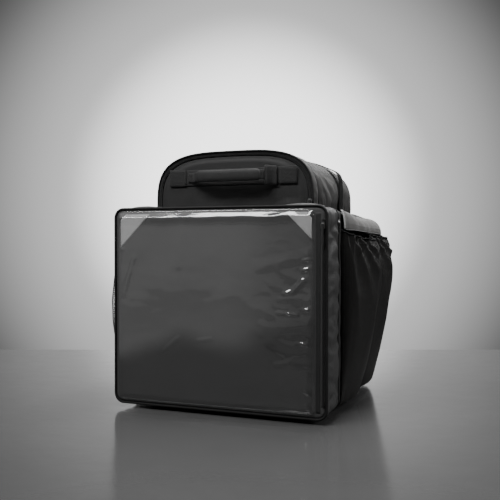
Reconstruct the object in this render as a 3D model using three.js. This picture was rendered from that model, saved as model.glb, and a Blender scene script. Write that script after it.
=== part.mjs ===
// An insulated delivery backpack: a padded box with a zipped front cover, a clear window on its face,
// an arched hood on top, two gathered pockets on its right and a mesh bottle pocket on its left.
// Millimetres, +Z up. The bag is drawn with its front face at y = 0, looking along -Y, and its
// floor at z = 0, and at the end it is moved until the origin is the middle of its footprint.
import * as THREE from "three";

// Box
const boxWidth = 474;
const boxHeight = 420; // the front face, from its lower edge to its top
const boxDepth = 460;
const baseDrop = 10; // the flat middle of the base hangs this far below the lower edges
const frontRise = 0.3; // share of the depth over which the base comes down behind the front edge
const rearRise = 0.12;
const sideRise = 0.15;
const edgeRadius = 20;
const rearRadius = 6;
const wall = 8; // insulating foam between two cloths
const sideCrown = 6;
const shoulderSag = 12; // the top edges beside the hood droop this far behind the cover
const clearance = 0.3; // between pieces that are sewn, laid or threaded together

// Front cover
const coverDepth = 88;
const gussetSwell = 4;
const gussetFoldDepth = 3.4;
const gussetFoldSpread = 11;
const pipingSeat = { inset: 6, depth: 7 }; // the slope round the face that the piping lies on
const pipingRadius = 2.6;
const doorZipWidth = 10;
const doorZipTape = 3;
const doorZipRise = 1; // the coil lies this far inside the panels, and the tape twice as far

// Window sleeve on the front face
const windowMargin = 7; // from the top and the lower edge of the face
const windowLeftMargin = 10;
const windowWidth = 440;
const windowEdge = 6; // width of the slope at its sewn edge
const windowCorner = 14;
const vinyl = 0.8;
const creaseHeight = 4;
const sheetThickness = 0.6;
const tabLegs = { left: 71, right: 54 };
const tabCut = 12;
const sleeveZipWidth = 8;
const sleeveTape = 1.4;
const sleeveCoil = { width: 3, rise: 2.2 };
const sleevePullLength = 42;

// Zip sliders and pulls
const slider = { width: 8, height: 13, thickness: 3 };
const pull = { width: 7, length: 22, thickness: 1.6 };
const hoodPullLength = 15;

// Hood
const hoodHeight = 126;
const hoodInset = 54; // from each side of the box
const hoodWall = 5;
const archPower = 3.5; // 2 would be half an ellipse, and more is squarer at the shoulders
const hoodZipWidth = 7;
const hoodPipingRadius = 2.2;
const hoodPanel = 4;
const hoodPanelCrown = 5;
const overStrapWidth = 30;
const overStrapLift = 7; // clear of the cloth at the shoulders
const overStrapPlace = 0.665; // share of the hood's length
const webbing = 1.6;

// Carry handle on the hood's front panel
const handleWidth = 35;
const handleLength = 296;
const handleHeight = 70; // of its middle above the box
const handlePatch = 40;
const gripStrapWidth = 20;
const handleFoot = { left: -103, right: 105 };
const gripStart = -71;
const gripLength = 146;
const gripHeight = 26;
const gripThickness = 15;
const gripStandOff = 26;
const keeperHeight = 41;
const keeperThickness = 2.5;

// Side flap
const flapStart = 122;
const flapLength = 285;
const flapThickness = 2;

// Pockets
const pocketCloth = 1.6;
const rimRadius = 2;
const pocketWidth = 164;
const pocketStart = 113;
const pocketGap = 8;
const pocketBulge = { front: 59, rear: 63 };
const pocketRimDrop = 48; // from the top of the box to the rim at its side seams
const pocketRimDip = 30; // and on down to the rim's outermost point
const gatherDepth = 2.2;
const meshPocketWidth = 110;
const meshPocketStart = 103;
const meshPocketBulge = 92;
const meshPocketRimDrop = 110;
const meshPocketRimDip = 22;
const meshPocketHeight = 262;

// Back
const backPadWidth = 330;
const backPadThickness = 14;
const backPadLow = 92;
const strapSpacing = 190;
const strapWidth = 60;
const strapThickness = 10;
const strapTop = 405;
const strapAbovePad = 28; // from the pad's upper edge to the top of the straps
const strapStandOff = 72;
const strapLength = 265; // height of the padded stretch
const strapWebbingWidth = 25;
const strapWebbingLow = 48;
const adjusterSize = { width: 34, thickness: 8, length: 20 };
const adjusterGap = 1; // between the padding and the adjuster
const haulLoopSpan = 80;
const haulLoopStandOff = 20;
const haulLoopWidth = 25;
const haulLoopHeight = 395;

// Sizes that follow
const boxTop = baseDrop + boxHeight;
const shellFront = coverDepth + doorZipWidth;
const hoodWidth = boxWidth - 2 * hoodInset;
const hoodFront = shellFront + clearance;
const hoodLength = boxDepth - rearRadius - hoodFront;
const rearPocketStart = pocketStart + pocketWidth + pocketGap;
const backPadHeight = strapTop - strapAbovePad - backPadLow;
const windowHeight = boxHeight - 2 * windowMargin;
const windowLeft = windowLeftMargin - boxWidth / 2;
const windowRight = windowLeft + windowWidth;
const windowLow = baseDrop + windowMargin;

// The piping's centre, where its cord just clears the slope between the face and the gusset
const seatSlope = Math.hypot(pipingSeat.inset, pipingSeat.depth);
const pipingAway = (pipingRadius + clearance) / seatSlope;
const pipingCentre = {
  inset: pipingSeat.inset / 2 - pipingAway * pipingSeat.depth,
  y: pipingSeat.depth / 2 - pipingAway * pipingSeat.inset,
};
const faceRight = boxWidth / 2 - pipingCentre.inset - pipingRadius - clearance;

// Folds across the gusset of the cover: height up the side, and depth as a share of the full fold
const gussetFolds = [
  { height: 0.95, depth: 1.0 },
  { height: 0.89, depth: 0.8 },
  { height: 0.83, depth: 1.0 },
  { height: 0.75, depth: 0.6 },
  { height: 0.56, depth: 0.4 },
  { height: 0.34, depth: 0.5 },
  { height: 0.12, depth: 0.8 },
];

// Creases of the window: from one end to the other in shares of its width and height, and how far
// each stands out and spreads, in shares of the crease height and the width
const creases = [
  { x0: 0.03, z0: 0.965, x1: 0.97, z1: 0.965, out: 0.7, spread: 0.018 },
  { x0: 0.1, z0: 0.75, x1: 0.05, z1: 0.55, out: 0.45, spread: 0.04 },
  { x0: 0.72, z0: 0.98, x1: 0.8, z1: 0.62, out: 0.4, spread: 0.05 },
  { x0: 0.8, z0: 0.66, x1: 0.99, z1: 0.72, out: 0.9, spread: 0.03 },
  { x0: 0.82, z0: 0.5, x1: 0.99, z1: 0.56, out: 1.0, spread: 0.03 },
  { x0: 0.84, z0: 0.3, x1: 0.99, z1: 0.38, out: 0.8, spread: 0.03 },
  { x0: 0.3, z0: 0.0, x1: 0.95, z1: 0.03, out: 0.5, spread: 0.02 },
];

// Sections of the hood: place along its length, and width and height as shares of its own
const hoodSections = [
  { along: 0, width: 1, height: 1 },
  { along: 0.06, width: 1.005, height: 1 },
  { along: 0.135, width: 0.985, height: 0.98 },
  { along: 0.2, width: 1, height: 0.99 },
  { along: 0.42, width: 0.99, height: 0.965 },
  { along: 0.62, width: 1, height: 0.99 },
  { along: 0.71, width: 1, height: 0.985 },
  { along: 0.88, width: 1, height: 0.96 },
  { along: 0.97, width: 0.995, height: 0.935 },
  { along: 1, width: 0.97, height: 0.9 },
  { along: 1, width: 0.5, height: 0.45 },
  { along: 1, width: 0.2, height: 0.004 },
];

// How full a pocket stands: down from the top of the box as a share of its height, and the bulge
// there as a share of the fullest
const sidePocketFullness = [
  { down: 0.1, out: 0.8 },
  { down: 0.2, out: 0.98 },
  { down: 0.3, out: 1 },
  { down: 0.45, out: 0.96 },
  { down: 0.6, out: 0.84 },
  { down: 0.79, out: 0.6 },
  { down: 0.92, out: 0.4 },
  { down: 1, out: 0.26 },
];
const meshPocketFullness = [
  { down: 0.26, out: 0.74 },
  { down: 0.36, out: 0.92 },
  { down: 0.5, out: 1 },
  { down: 0.62, out: 0.98 },
  { down: 0.73, out: 0.9 },
  { down: 0.82, out: 0.7 },
  { down: 0.9, out: 0.45 },
];

// The handle strap's bends: how far each lies past a place, and out as a share of the grip's stand-off
const handleBends = [
  { place: "leftFoot", past: 0, out: 0 },
  { place: "leftFoot", past: 9, out: 0.04 },
  { place: "gripStart", past: -5, out: 0.74 },
  { place: "gripStart", past: 12, out: 1 },
  { place: "gripMiddle", past: 0, out: 1.04 },
  { place: "gripEnd", past: -12, out: 1 },
  { place: "gripEnd", past: 2, out: 0.82 },
  { place: "gripEnd", past: 9, out: 0.34 },
  { place: "gripEnd", past: 17, out: 0.046 },
  { place: "rightFoot", past: 0, out: 0 },
];

// The haul loop's bends: along in shares of half its span, and out as a share of its stand-off
const haulLoopBends = [
  { along: -1.3, out: 0 },
  { along: -1, out: 0.025 },
  { along: -0.55, out: 0.8 },
  { along: 0, out: 1 },
  { along: 0.55, out: 0.8 },
  { along: 1, out: 0.025 },
  { along: 1.3, out: 0 },
];

// The padded strap's route, out from the back and down from its top, in shares of its own reach
const strapRoute = [
  { out: 0.08, down: -0.02 },
  { out: 0.2, down: 0.03 },
  { out: 0.72, down: 0.11 },
  { out: 1, down: 0.36 },
  { out: 0.92, down: 0.68 },
  { out: 0.7, down: 1 },
];

const { smoothstep, lerp, clamp } = THREE.MathUtils;
const at = (x, y, z) => new THREE.Vector3(x, y, z);
const bump = (share) => Math.max(0, 4 * share * (1 - share));

const finish = (color, roughness, more = {}) =>
  new THREE.MeshStandardMaterial({ color, roughness, ...more });
const blackCloth = finish(0x1f1f20, 0.85);
const sideCloth = finish(0x33342f, 0.8);
const webbingTape = finish(0x161617, 0.75);
const pipingCord = finish(0x2b2b2c, 0.6);
const zipTape = finish(0x121213, 0.7);
const moulded = finish(0x0e0e0f, 0.4);
const clearVinyl = finish(0xd9dcde, 0.12, { transparent: true, opacity: 0.35 });
const darkSheet = finish(0x2c2d2e, 0.6);
const greyTab = finish(0xb9bbbc, 0.6);
const netting = finish(0x3c3d3a, 0.8);

// A value read from a table, straight between its rows
function read(table, key, value, wanted) {
  const next = table.findIndex((row) => row[key] > value);
  if (next === 0) return table[0][wanted];
  if (next < 0) return table.at(-1)[wanted];
  const [low, high] = [table[next - 1], table[next]];
  return lerp(low[wanted], high[wanted], (value - low[key]) / (high[key] - low[key]));
}

function makeGeometry(points, index) {
  const volume = () => {
    let sum = 0;
    for (let i = 0; i < index.length; i += 3) {
      const [a, b, c] = [points[index[i]], points[index[i + 1]], points[index[i + 2]]];
      sum += a.dot(b.clone().cross(c));
    }
    return sum;
  };
  if (volume() < 0) index.reverse(); // so that the faces point out
  const geometry = new THREE.BufferGeometry().setFromPoints(points).setIndex(index);
  geometry.computeVertexNormals();
  return geometry;
}

// A closed solid through rings of points, closed across its two ends or joined round to its start
function loft(rings, joined = false) {
  const count = rings[0].length;
  const index = [];
  const quad = (a, b, c, d) => index.push(a, b, c, a, c, d);
  const spans = joined ? rings.length : rings.length - 1;
  for (let i = 0; i < spans; i++) {
    const here = i * count;
    const next = ((i + 1) % rings.length) * count;
    for (let j = 0; j < count; j++) {
      const k = (j + 1) % count;
      quad(here + j, here + k, next + k, next + j);
    }
  }
  const last = (rings.length - 1) * count;
  for (let j = 0; !joined && j < count / 2 - 1; j++) {
    const k = count - 1 - j;
    quad(k, k - 1, j + 1, j);
    quad(last + j, last + j + 1, last + k - 1, last + k);
  }
  return makeGeometry(rings.flat(), index);
}

// A cloth: rows of points, given its thickness on the side where the rows' normals point
function cloth(rows, thickness) {
  const backOf = (row, i) =>
    row.map((point, j) => {
      const along = rows[Math.min(i + 1, rows.length - 1)][j].clone();
      along.sub(rows[Math.max(i - 1, 0)][j]);
      const across = row[Math.min(j + 1, row.length - 1)].clone();
      across.sub(row[Math.max(j - 1, 0)]);
      return point.clone().addScaledVector(along.cross(across).normalize(), thickness);
    });
  return loft(rows.map((row, i) => [...row, ...backOf(row, i).reverse()]));
}

// A flat tape along a path, its width along side
function tape(path, side, width, thickness) {
  const edge = (point, half) => point.clone().addScaledVector(side, half);
  return cloth(
    path.map((point) => [edge(point, -width / 2), edge(point, width / 2)]),
    thickness,
  );
}

// A round cord or piping along a path. facing is a direction that the path never takes.
function piping(path, radius, facing, joined = false) {
  const sides = 6;
  const rings = path.map((point, i) => {
    const ahead = joined ? path[(i + 1) % path.length] : path[Math.min(i + 1, path.length - 1)];
    const behind = joined ? path.at(i - 1) : path[Math.max(i - 1, 0)];
    const across = ahead.clone().sub(behind).cross(facing).normalize();
    return Array.from({ length: sides }, (_, k) => {
      const angle = (k * 2 * Math.PI) / sides;
      return point
        .clone()
        .addScaledVector(across, radius * Math.cos(angle))
        .addScaledVector(facing, radius * Math.sin(angle));
    });
  });
  return loft(rings, joined);
}

// A ring of points in the form of a padded strap's section, flat with round edges
function paddedRing(middle, across, width, out, thickness) {
  const sides = 8;
  const squared = (value) => Math.sign(value) * Math.abs(value) ** 0.5;
  return Array.from({ length: sides }, (_, k) => {
    const angle = ((k + 0.5) * 2 * Math.PI) / sides;
    return middle
      .clone()
      .addScaledVector(across, (width / 2) * squared(Math.cos(angle)))
      .addScaledVector(out, (thickness / 2) * squared(Math.sin(angle)));
  });
}

// A flat plate with its outline in x and z, from y = 0 towards -y
function plate(outline, thickness) {
  const shape = new THREE.Shape(outline.map(([x, z]) => new THREE.Vector2(x, z)));
  const geometry = new THREE.ExtrudeGeometry(shape, { depth: thickness, bevelEnabled: false });
  return geometry.rotateX(Math.PI / 2);
}

const box = (width, depth, height) => new THREE.BoxGeometry(width, depth, height);

// A rounded rectangle in x and z about its own middle. side and share say where a point lies.
const sideDirections = [
  { side: "right", x: 1, z: 0 },
  { side: "top", x: 0, z: 1 },
  { side: "left", x: -1, z: 0 },
  { side: "base", x: 0, z: -1 },
];
function roundedOutline(width, height, radius, inset, steps) {
  const corner = Math.max(radius - inset, 2);
  const cornerSteps = 3;
  return sideDirections.flatMap(({ side, x, z }) => {
    const reach = (x ? width : height) / 2 - inset;
    const half = (x ? height : width) / 2 - inset - corner;
    const straight = Array.from({ length: steps[side] + 1 }, (_, k) => {
      const share = k / steps[side];
      const run = half * (2 * share - 1);
      return { side, share, x: x * reach - z * run, z: z * reach + x * run, out: [x, z] };
    });
    const turned = Array.from({ length: cornerSteps - 1 }, (_, k) => {
      const angle = ((k + 1) / cornerSteps) * (Math.PI / 2);
      const out = [x * Math.cos(angle) - z * Math.sin(angle), z * Math.cos(angle) + x * Math.sin(angle)];
      const middle = [x * (reach - corner) - z * half, z * (reach - corner) + x * half];
      return {
        side: "corner",
        share: 0,
        x: middle[0] + out[0] * corner,
        z: middle[1] + out[1] * corner,
        out,
      };
    });
    return [...straight, ...turned];
  });
}

// How far the base hangs below the lower edges
function baseSag(x, y) {
  const fromSide = 0.5 - Math.abs(x) / boxWidth;
  return (
    baseDrop *
    smoothstep(fromSide, 0, sideRise) *
    smoothstep(y / boxDepth, 0, frontRise) *
    smoothstep(1 - y / boxDepth, 0, rearRise)
  );
}

// How far the top droops between the hood and its side edges, behind the cover
function topSag(x, y, z) {
  const beside = smoothstep(Math.abs(x), hoodWidth / 2, boxWidth / 2 - edgeRadius / 2);
  const behind = smoothstep((y - shellFront) / (boxDepth - shellFront), 0.02, 0.4);
  return shoulderSag * beside * behind * smoothstep(z, boxTop - 3 * edgeRadius, boxTop - edgeRadius);
}

// A ring of points round the box at one depth. swell gives how far a panel stands out there.
function boxRing(y, inset, steps, swell = () => 0) {
  return roundedOutline(boxWidth, boxHeight, edgeRadius, inset, steps).map((point) => {
    const out = swell(point, y);
    const z = baseDrop + boxHeight / 2 + point.z + point.out[1] * out;
    const sag = point.side === "base" ? baseSag(point.x, y) : topSag(point.x, y, z);
    return at(point.x + point.out[0] * out, y, z - sag);
  });
}

// Where the side panels crown: share up the straight of the panel, and depth
const panelCrown = (share, y) =>
  sideCrown * bump(share) * bump((y - shellFront) / (boxDepth - shellFront));

// Outer face of a side panel, from the middle of the bag
function sideWall(y, z) {
  const straight = boxHeight - 2 * edgeRadius;
  const share = (z - baseDrop - edgeRadius) / straight;
  const past = Math.max(0, baseDrop + edgeRadius - z, z - boxTop + edgeRadius);
  const rounding = edgeRadius - Math.sqrt(Math.max(0, edgeRadius ** 2 - past ** 2));
  return boxWidth / 2 + panelCrown(share, y) - rounding;
}

function mainShell() {
  const steps = { right: 6, top: 12, left: 6, base: 10 };
  const swell = ({ side, share }, y) =>
    side === "right" || side === "left" ? panelCrown(share, y) : 0;
  const rear = boxDepth - rearRadius;
  const outside = [0, 0.12, 0.3, 0.5, 0.7, 0.88, 1].map((share) =>
    boxRing(lerp(shellFront, rear, share), 0, steps, swell),
  );
  const rounded = [30, 60, 90].map((degrees) => {
    const angle = THREE.MathUtils.degToRad(degrees);
    return boxRing(
      rear + rearRadius * Math.sin(angle),
      rearRadius * (1 - Math.cos(angle)),
      steps,
    );
  });
  const inside = [1, 0.88, 0.7, 0.5, 0.12, 0].map((share) =>
    boxRing(lerp(shellFront, boxDepth - wall, share), wall, steps, swell),
  );
  return loft([...inside, ...outside, ...rounded]);
}

function frontCover() {
  const steps = { right: 24, top: 8, left: 24, base: 10 };
  const straight = boxHeight - 2 * edgeRadius;
  const swell = ({ side, share }, y) => {
    const arch = Math.sin((Math.PI * (y - pipingSeat.depth)) / (coverDepth - pipingSeat.depth));
    if (side === "base" || side === "corner") return 0;
    if (side === "top") return gussetSwell * arch * Math.sqrt(bump(share));
    const height = side === "right" ? share : 1 - share;
    const fold = gussetFolds.reduce((sum, row) => {
      const away = ((height - row.height) * straight) / gussetFoldSpread;
      return sum + row.depth * gussetFoldDepth * Math.exp(-away * away);
    }, 0);
    return arch * (gussetSwell * Math.sqrt(bump(share)) - fold);
  };
  const inside = [1, 0.5, 0].map((share) => boxRing(lerp(wall, coverDepth, share), wall, steps));
  const outside = [0, 0.25, 0.5, 0.75, 1].map((share) =>
    boxRing(lerp(coverDepth, pipingSeat.depth, share), 0, steps, swell),
  );
  return loft([...inside.toReversed(), ...outside, boxRing(0, pipingSeat.inset, steps)]);
}

function frontPiping() {
  const steps = { right: 2, top: 2, left: 2, base: 2 };
  const path = boxRing(pipingCentre.y, pipingCentre.inset, steps);
  return piping(path, pipingRadius, at(0, 1, 0), true);
}

function doorZip() {
  const steps = { right: 4, top: 3, left: 4, base: 10 };
  const front = coverDepth + clearance;
  const rear = shellFront - clearance;
  const middle = (front + rear) / 2;
  const coil = 2;
  const section = [
    { y: front, inset: 2 * doorZipRise },
    { y: middle - coil, inset: 2 * doorZipRise },
    { y: middle - coil / 2, inset: doorZipRise },
    { y: middle + coil / 2, inset: doorZipRise },
    { y: middle + coil, inset: 2 * doorZipRise },
    { y: rear, inset: 2 * doorZipRise },
    { y: rear, inset: 2 * doorZipRise + doorZipTape },
    { y: front, inset: 2 * doorZipRise + doorZipTape },
  ];
  return loft(section.map(({ y, inset }) => boxRing(y, inset, steps)), true);
}

// Sliders and pulls hang in the xz plane, their fronts towards -y
function zipSlider(width, height, thickness) {
  const shape = [
    [-width / 2, -height / 2],
    [width / 2, -height / 2],
    [width / 2, height * 0.2],
    [width * 0.3, height / 2],
    [-width * 0.3, height / 2],
    [-width / 2, height * 0.2],
  ];
  return plate(shape, thickness);
}

function zipPull(width, length, thickness) {
  const shape = [
    [-width * 0.3, 0],
    [-width / 2, -length * 0.15],
    [-width * 0.35, -length * 0.45],
    [-width / 2, -length * 0.9],
    [-width * 0.3, -length],
    [width * 0.3, -length],
    [width / 2, -length * 0.9],
    [width * 0.35, -length * 0.45],
    [width / 2, -length * 0.15],
    [width * 0.3, 0],
  ];
  return plate(shape, thickness);
}

// How far the window stands out at a place given in shares of its width and height
function creaseAt(x, z) {
  return creases.reduce((most, row) => {
    const run = { x: row.x1 - row.x0, z: row.z1 - row.z0 };
    const length = run.x ** 2 + run.z ** 2;
    const near = clamp(((x - row.x0) * run.x + (z - row.z0) * run.z) / length, 0, 1);
    const away = Math.hypot(x - row.x0 - near * run.x, z - row.z0 - near * run.z) / row.spread;
    return Math.max(most, creaseHeight * row.out * Math.exp(-away * away));
  }, 0);
}

function windowSheet() {
  const rest = 3 * clearance + 2 * sheetThickness; // over the dark sheet and the tabs
  const columns = [0, windowEdge / windowWidth];
  for (let k = 1; k < 12; k++) columns.push(k / 12);
  columns.push(1 - windowEdge / windowWidth, 1);
  const rows = [0, windowEdge / windowHeight];
  for (let k = 1; k < 10; k++) rows.push(k / 10);
  rows.push(1 - windowEdge / windowHeight, 1);
  const half = { x: windowWidth / 2 - windowCorner, z: windowHeight / 2 - windowCorner };
  return cloth(
    rows.map((up) =>
      columns.map((right) => {
        const edge = up === 0 || up === 1 || right === 0 || right === 1;
        let x = (right - 0.5) * windowWidth;
        let z = (up - 0.5) * windowHeight;
        const past = Math.hypot(Math.max(0, Math.abs(x) - half.x), Math.max(0, Math.abs(z) - half.z));
        if (past > windowCorner && Math.abs(x) > half.x && Math.abs(z) > half.z) {
          const pull = windowCorner / past;
          x = Math.sign(x) * (half.x + (Math.abs(x) - half.x) * pull);
          z = Math.sign(z) * (half.z + (Math.abs(z) - half.z) * pull);
        }
        const inner = smoothstep(Math.min(right, 1 - right) * windowWidth, windowEdge, 4 * windowEdge);
        const y = edge ? -clearance : -rest - inner * creaseAt(right, up);
        return at(windowLeft + windowWidth / 2 + x, y, windowLow + windowHeight / 2 + z);
      }),
    ),
    -vinyl,
  );
}

function cornerTab(hand, leg) {
  const shape = [
    [0, -tabCut],
    [0, -leg],
    [leg, 0],
    [tabCut, 0],
  ];
  const outline = hand < 0 ? shape : shape.map(([x, z]) => [-x, z]).reverse();
  return plate(outline, sheetThickness);
}

// A point on the hood's arch, from its right foot at angle 0 over the top to its left foot
function archPoint(angle, width, height, y) {
  const power = 2 / archPower;
  const across = Math.sign(Math.cos(angle)) * Math.abs(Math.cos(angle)) ** power;
  return at((width / 2) * across, y, height * Math.max(0, Math.sin(angle)) ** power);
}

function arch(width, height, y, steps = 24) {
  return Array.from({ length: steps + 1 }, (_, k) =>
    archPoint((k === steps ? 1 : k / steps) * Math.PI, width, height, y),
  ).map((point, k) => ([0, steps].includes(k) ? point.setZ(0) : point));
}

function hoodShell() {
  const rows = hoodSections.map((row) =>
    arch(hoodWidth * row.width, hoodHeight * row.height, row.along * hoodLength),
  );
  return cloth(rows, -hoodWall);
}

// The arched front panel, crowned to a flat middle that carries the handle
function hoodFrontPanel() {
  const inset = hoodZipWidth + 2 * hoodPipingRadius;
  const rings = [
    { share: 1, y: hoodPanel },
    { share: 1, y: 0 },
    { share: 0.95, y: -0.7 * hoodPanelCrown },
    { share: 0.89, y: -hoodPanelCrown },
  ];
  return loft(
    rings.map(({ share, y }) => {
      const width = (hoodWidth - 2 * inset) * share;
      const over = arch(width, (hoodHeight - inset) * share, y, 20);
      const floor = [-0.5, 0, 0.5].map((place) => at((width / 2) * place, y, 0));
      return [...over, ...floor];
    }),
  );
}

// Zip round the arch, laid against the front edge of the hood
function hoodZip() {
  const outer = hoodPipingRadius + 1;
  const inner = outer + hoodZipWidth;
  const edge = (inset) => arch(hoodWidth - 2 * inset, hoodHeight - inset, -clearance);
  const [outerEdge, innerEdge] = [edge(outer), edge(inner)];
  return cloth(outerEdge.map((point, k) => [point, innerEdge[k]]), webbing);
}

const hoodPipingInset = 0.4 * hoodPipingRadius;
function hoodPipingTube() {
  const inset = hoodPipingInset;
  const path = arch(hoodWidth - 2 * inset, hoodHeight - inset, -clearance - hoodPipingRadius);
  path[0].z = clearance;
  path.at(-1).z = clearance;
  return piping(path, hoodPipingRadius, at(0, 1, 0));
}

// Webbing over the hood. It stands off at the shoulders and touches on top and at its feet.
function overStrap() {
  const steps = 28;
  const path = Array.from({ length: steps + 1 }, (_, k) => {
    const angle = (k / steps) * Math.PI;
    const lift = 2 * clearance + overStrapLift * Math.sin(2 * angle) ** 2;
    const point = archPoint(angle, hoodWidth + 2 * lift, hoodHeight * 0.99 + lift, 0);
    return point.setY(overStrapPlace * hoodLength);
  });
  path[0].z = clearance;
  path.at(-1).z = clearance;
  return tape(path, at(0, 1, 0), overStrapWidth, -webbing);
}

// The strap that carries the grip, from its left foot out and steeply back under the keeper
function handleRoute() {
  const places = {
    leftFoot: handleFoot.left,
    gripStart,
    gripMiddle: gripStart + gripLength / 2,
    gripEnd: gripStart + gripLength,
    rightFoot: handleFoot.right,
  };
  const points = handleBends.map((bend) =>
    at(places[bend.place] + bend.past, -gripStandOff * bend.out, 0),
  );
  return new THREE.CatmullRomCurve3(points, false, "centripetal").getPoints(45);
}

function handleStrap() {
  return tape(handleRoute(), at(0, 0, 1), gripStrapWidth, webbing);
}

// Webbing sewn over the strap's right foot, which it follows a clearance above
function handleKeeper() {
  const route = handleRoute();
  const covered = route.filter(({ x }) => x > gripStart + gripLength + 5);
  const path = covered.map((point, i) => {
    const ahead = covered[Math.min(i + 1, covered.length - 1)];
    const behind = covered[Math.max(i - 1, 0)];
    const out = ahead.clone().sub(behind).cross(at(0, 0, 1)).normalize();
    return point.clone().addScaledVector(out, webbing + 2 * clearance);
  });
  return tape(path, at(0, 0, 1), keeperHeight, keeperThickness);
}

// A padded sleeve round the strap, its slot a clearance larger than the webbing
function handleGrip() {
  const path = handleRoute().filter(({ x }) => x > gripStart && x < gripStart + gripLength);
  const ring = (point, i, height, thickness) => {
    const ahead = path[Math.min(i + 1, path.length - 1)];
    const behind = path[Math.max(i - 1, 0)];
    const along = ahead.clone().sub(behind).normalize();
    const out = along.clone().cross(at(0, 0, 1)).normalize();
    const middle = point.clone().addScaledVector(out, webbing / 2);
    return paddedRing(middle, out, thickness, at(0, 0, 1), height);
  };
  const full = (i) => (i === 0 || i === path.length - 1 ? 0.86 : 1);
  const outer = path.map((p, i) => ring(p, i, gripHeight * full(i), gripThickness * full(i)));
  const slot = { height: gripStrapWidth + 3, thickness: webbing + 2 };
  const inner = path.map((p, i) => ring(p, i, slot.height, slot.thickness));
  return loft([...outer, ...inner.reverse()], true);
}

// The flap hangs in a convex curve from the top edge, further out towards the rear
function sideFlap() {
  const rows = 12;
  const start = edgeRadius - (edgeRadius + 2 * clearance + flapThickness) * Math.SQRT1_2;
  return cloth(
    Array.from({ length: rows + 1 }, (_, k) => {
      const share = k / rows;
      const y = flapStart + share * flapLength;
      const edge = boxTop - topSag(boxWidth / 2, y, boxTop);
      const full = lerp(0.24, 0.6, share ** 0.8) * (1 - 0.3 * smoothstep(share, 0.9, 1));
      const out = pocketBulge.rear * full;
      const down = edge - boxTop + boxHeight * lerp(0.106, 0.128, share);
      const section = new THREE.CubicBezierCurve(
        new THREE.Vector2(-start, start),
        new THREE.Vector2(out * 0.45, start),
        new THREE.Vector2(out, start + 0.3 * down),
        new THREE.Vector2(out * 1.02, down),
      );
      return section
        .getPoints(8)
        .map((p) => at(boxWidth / 2 + p.x, y, edge - p.y));
    }),
    flapThickness,
  );
}

// Points of a gathered pocket on one side of the box, a row for each height from the rim down.
// hand is 1 on the right and -1 on the left. Its last row turns in to the wall to close its foot.
function pocketRows({ hand, start, width, bulge, rimDrop, rimDip, height, fullness, gather }) {
  const columns = 14;
  const roundness = 2 / 2.7;
  const foot = boxTop - rimDrop - height;
  const levels = [0, 0.05, 0.13, 0.25, 0.42, 0.6, 0.78, 0.9, 1];
  const turn = 1 - (baseDrop + edgeRadius - foot) / height; // where the box's lower edge rounds
  if (turn < 1) levels.splice(-1, 0, turn, (1 + turn) / 2);
  const rows = levels.map((level) =>
    Array.from({ length: columns + 1 }, (_, k) => {
      const angle = (k / columns) * Math.PI;
      const across = -Math.sign(Math.cos(angle)) * Math.abs(Math.cos(angle)) ** roundness;
      const out = k % columns ? Math.sin(angle) ** roundness : 0;
      const y = start + (width / 2) * (1 + (k % columns ? across : Math.sign(across)));
      const z = lerp(boxTop - rimDrop - rimDip * out, foot, level);
      const ripple = gather * (k % 2 ? 1 : -1) * out * (1 - smoothstep(level, 0, 0.45));
      const full = bulge * read(fullness, "down", (boxTop - z) / boxHeight, "out");
      return at(hand * (sideWall(y, z) + clearance + full * out + ripple), y, z);
    }),
  );
  const floor = rows.at(-1).map(({ x, y, z }) => {
    const seam = hand * (sideWall(y, z) + clearance);
    return at(lerp(seam, x, 0.02), y, z - 1);
  });
  return [...rows, floor];
}

// The pocket's inner face is the same form, smaller by the cloth on every side
function pocket(sizes) {
  const inner = pocketRows({
    ...sizes,
    start: sizes.start + pocketCloth,
    width: sizes.width - 2 * pocketCloth,
    bulge: sizes.bulge - pocketCloth,
    height: sizes.height - pocketCloth,
  });
  return loft(pocketRows(sizes).map((row, i) => [...row, ...inner[i].reverse()]));
}

function pocketRim(sizes) {
  const lift = rimRadius + clearance;
  const path = pocketRows(sizes)[0].map(({ x, y, z }, k, row) => {
    const end = k === 0 || k === row.length - 1;
    const off = end ? rimRadius : 0;
    return at(x + sizes.hand * (off - pocketCloth / 2), y, z + lift);
  });
  return piping(path, rimRadius, at(0, 0, 1));
}

const sidePocket = (start, bulge) => ({
  hand: 1,
  start,
  width: pocketWidth,
  bulge,
  rimDrop: pocketRimDrop,
  rimDip: pocketRimDip,
  height: boxHeight - pocketRimDrop - 8,
  fullness: sidePocketFullness,
  gather: gatherDepth,
});
const bottlePocket = {
  hand: -1,
  start: meshPocketStart,
  width: meshPocketWidth,
  bulge: meshPocketBulge,
  rimDrop: meshPocketRimDrop,
  rimDip: meshPocketRimDip,
  height: meshPocketHeight,
  fullness: meshPocketFullness,
  gather: gatherDepth / 2,
};

function backPad() {
  const steps = { right: 2, top: 2, left: 2, base: 2 };
  const levels = [
    { inset: 0, y: 0 },
    { inset: 0, y: 0.45 },
    { inset: 5, y: 0.85 },
    { inset: 16, y: 1 },
  ];
  return loft(
    levels.map(({ inset, y }) =>
      roundedOutline(backPadWidth, backPadHeight, 3 * edgeRadius, inset, steps).map((point) =>
        at(point.x, clearance + y * backPadThickness, backPadLow + backPadHeight / 2 + point.z),
      ),
    ),
  );
}

function strapRouteCurve() {
  return new THREE.CatmullRomCurve3(
    strapRoute.map(({ out, down }) =>
      at(0, out * strapStandOff + clearance, strapTop - down * strapLength),
    ),
    false,
    "centripetal",
  );
}

function shoulderStrap() {
  const curve = strapRouteCurve();
  const steps = 16;
  const rings = Array.from({ length: steps + 1 }, (_, k) => {
    const share = k / steps;
    const point = curve.getPoint(share);
    const out = curve.getTangent(share).cross(at(1, 0, 0)).normalize();
    const end = Math.min(share, 1 - share) * steps;
    const full = end < 1 ? lerp(0.62, 1, end) : 1;
    return paddedRing(point, at(1, 0, 0), strapWidth * full, out, strapThickness * full);
  });
  return loft(rings);
}

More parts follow.
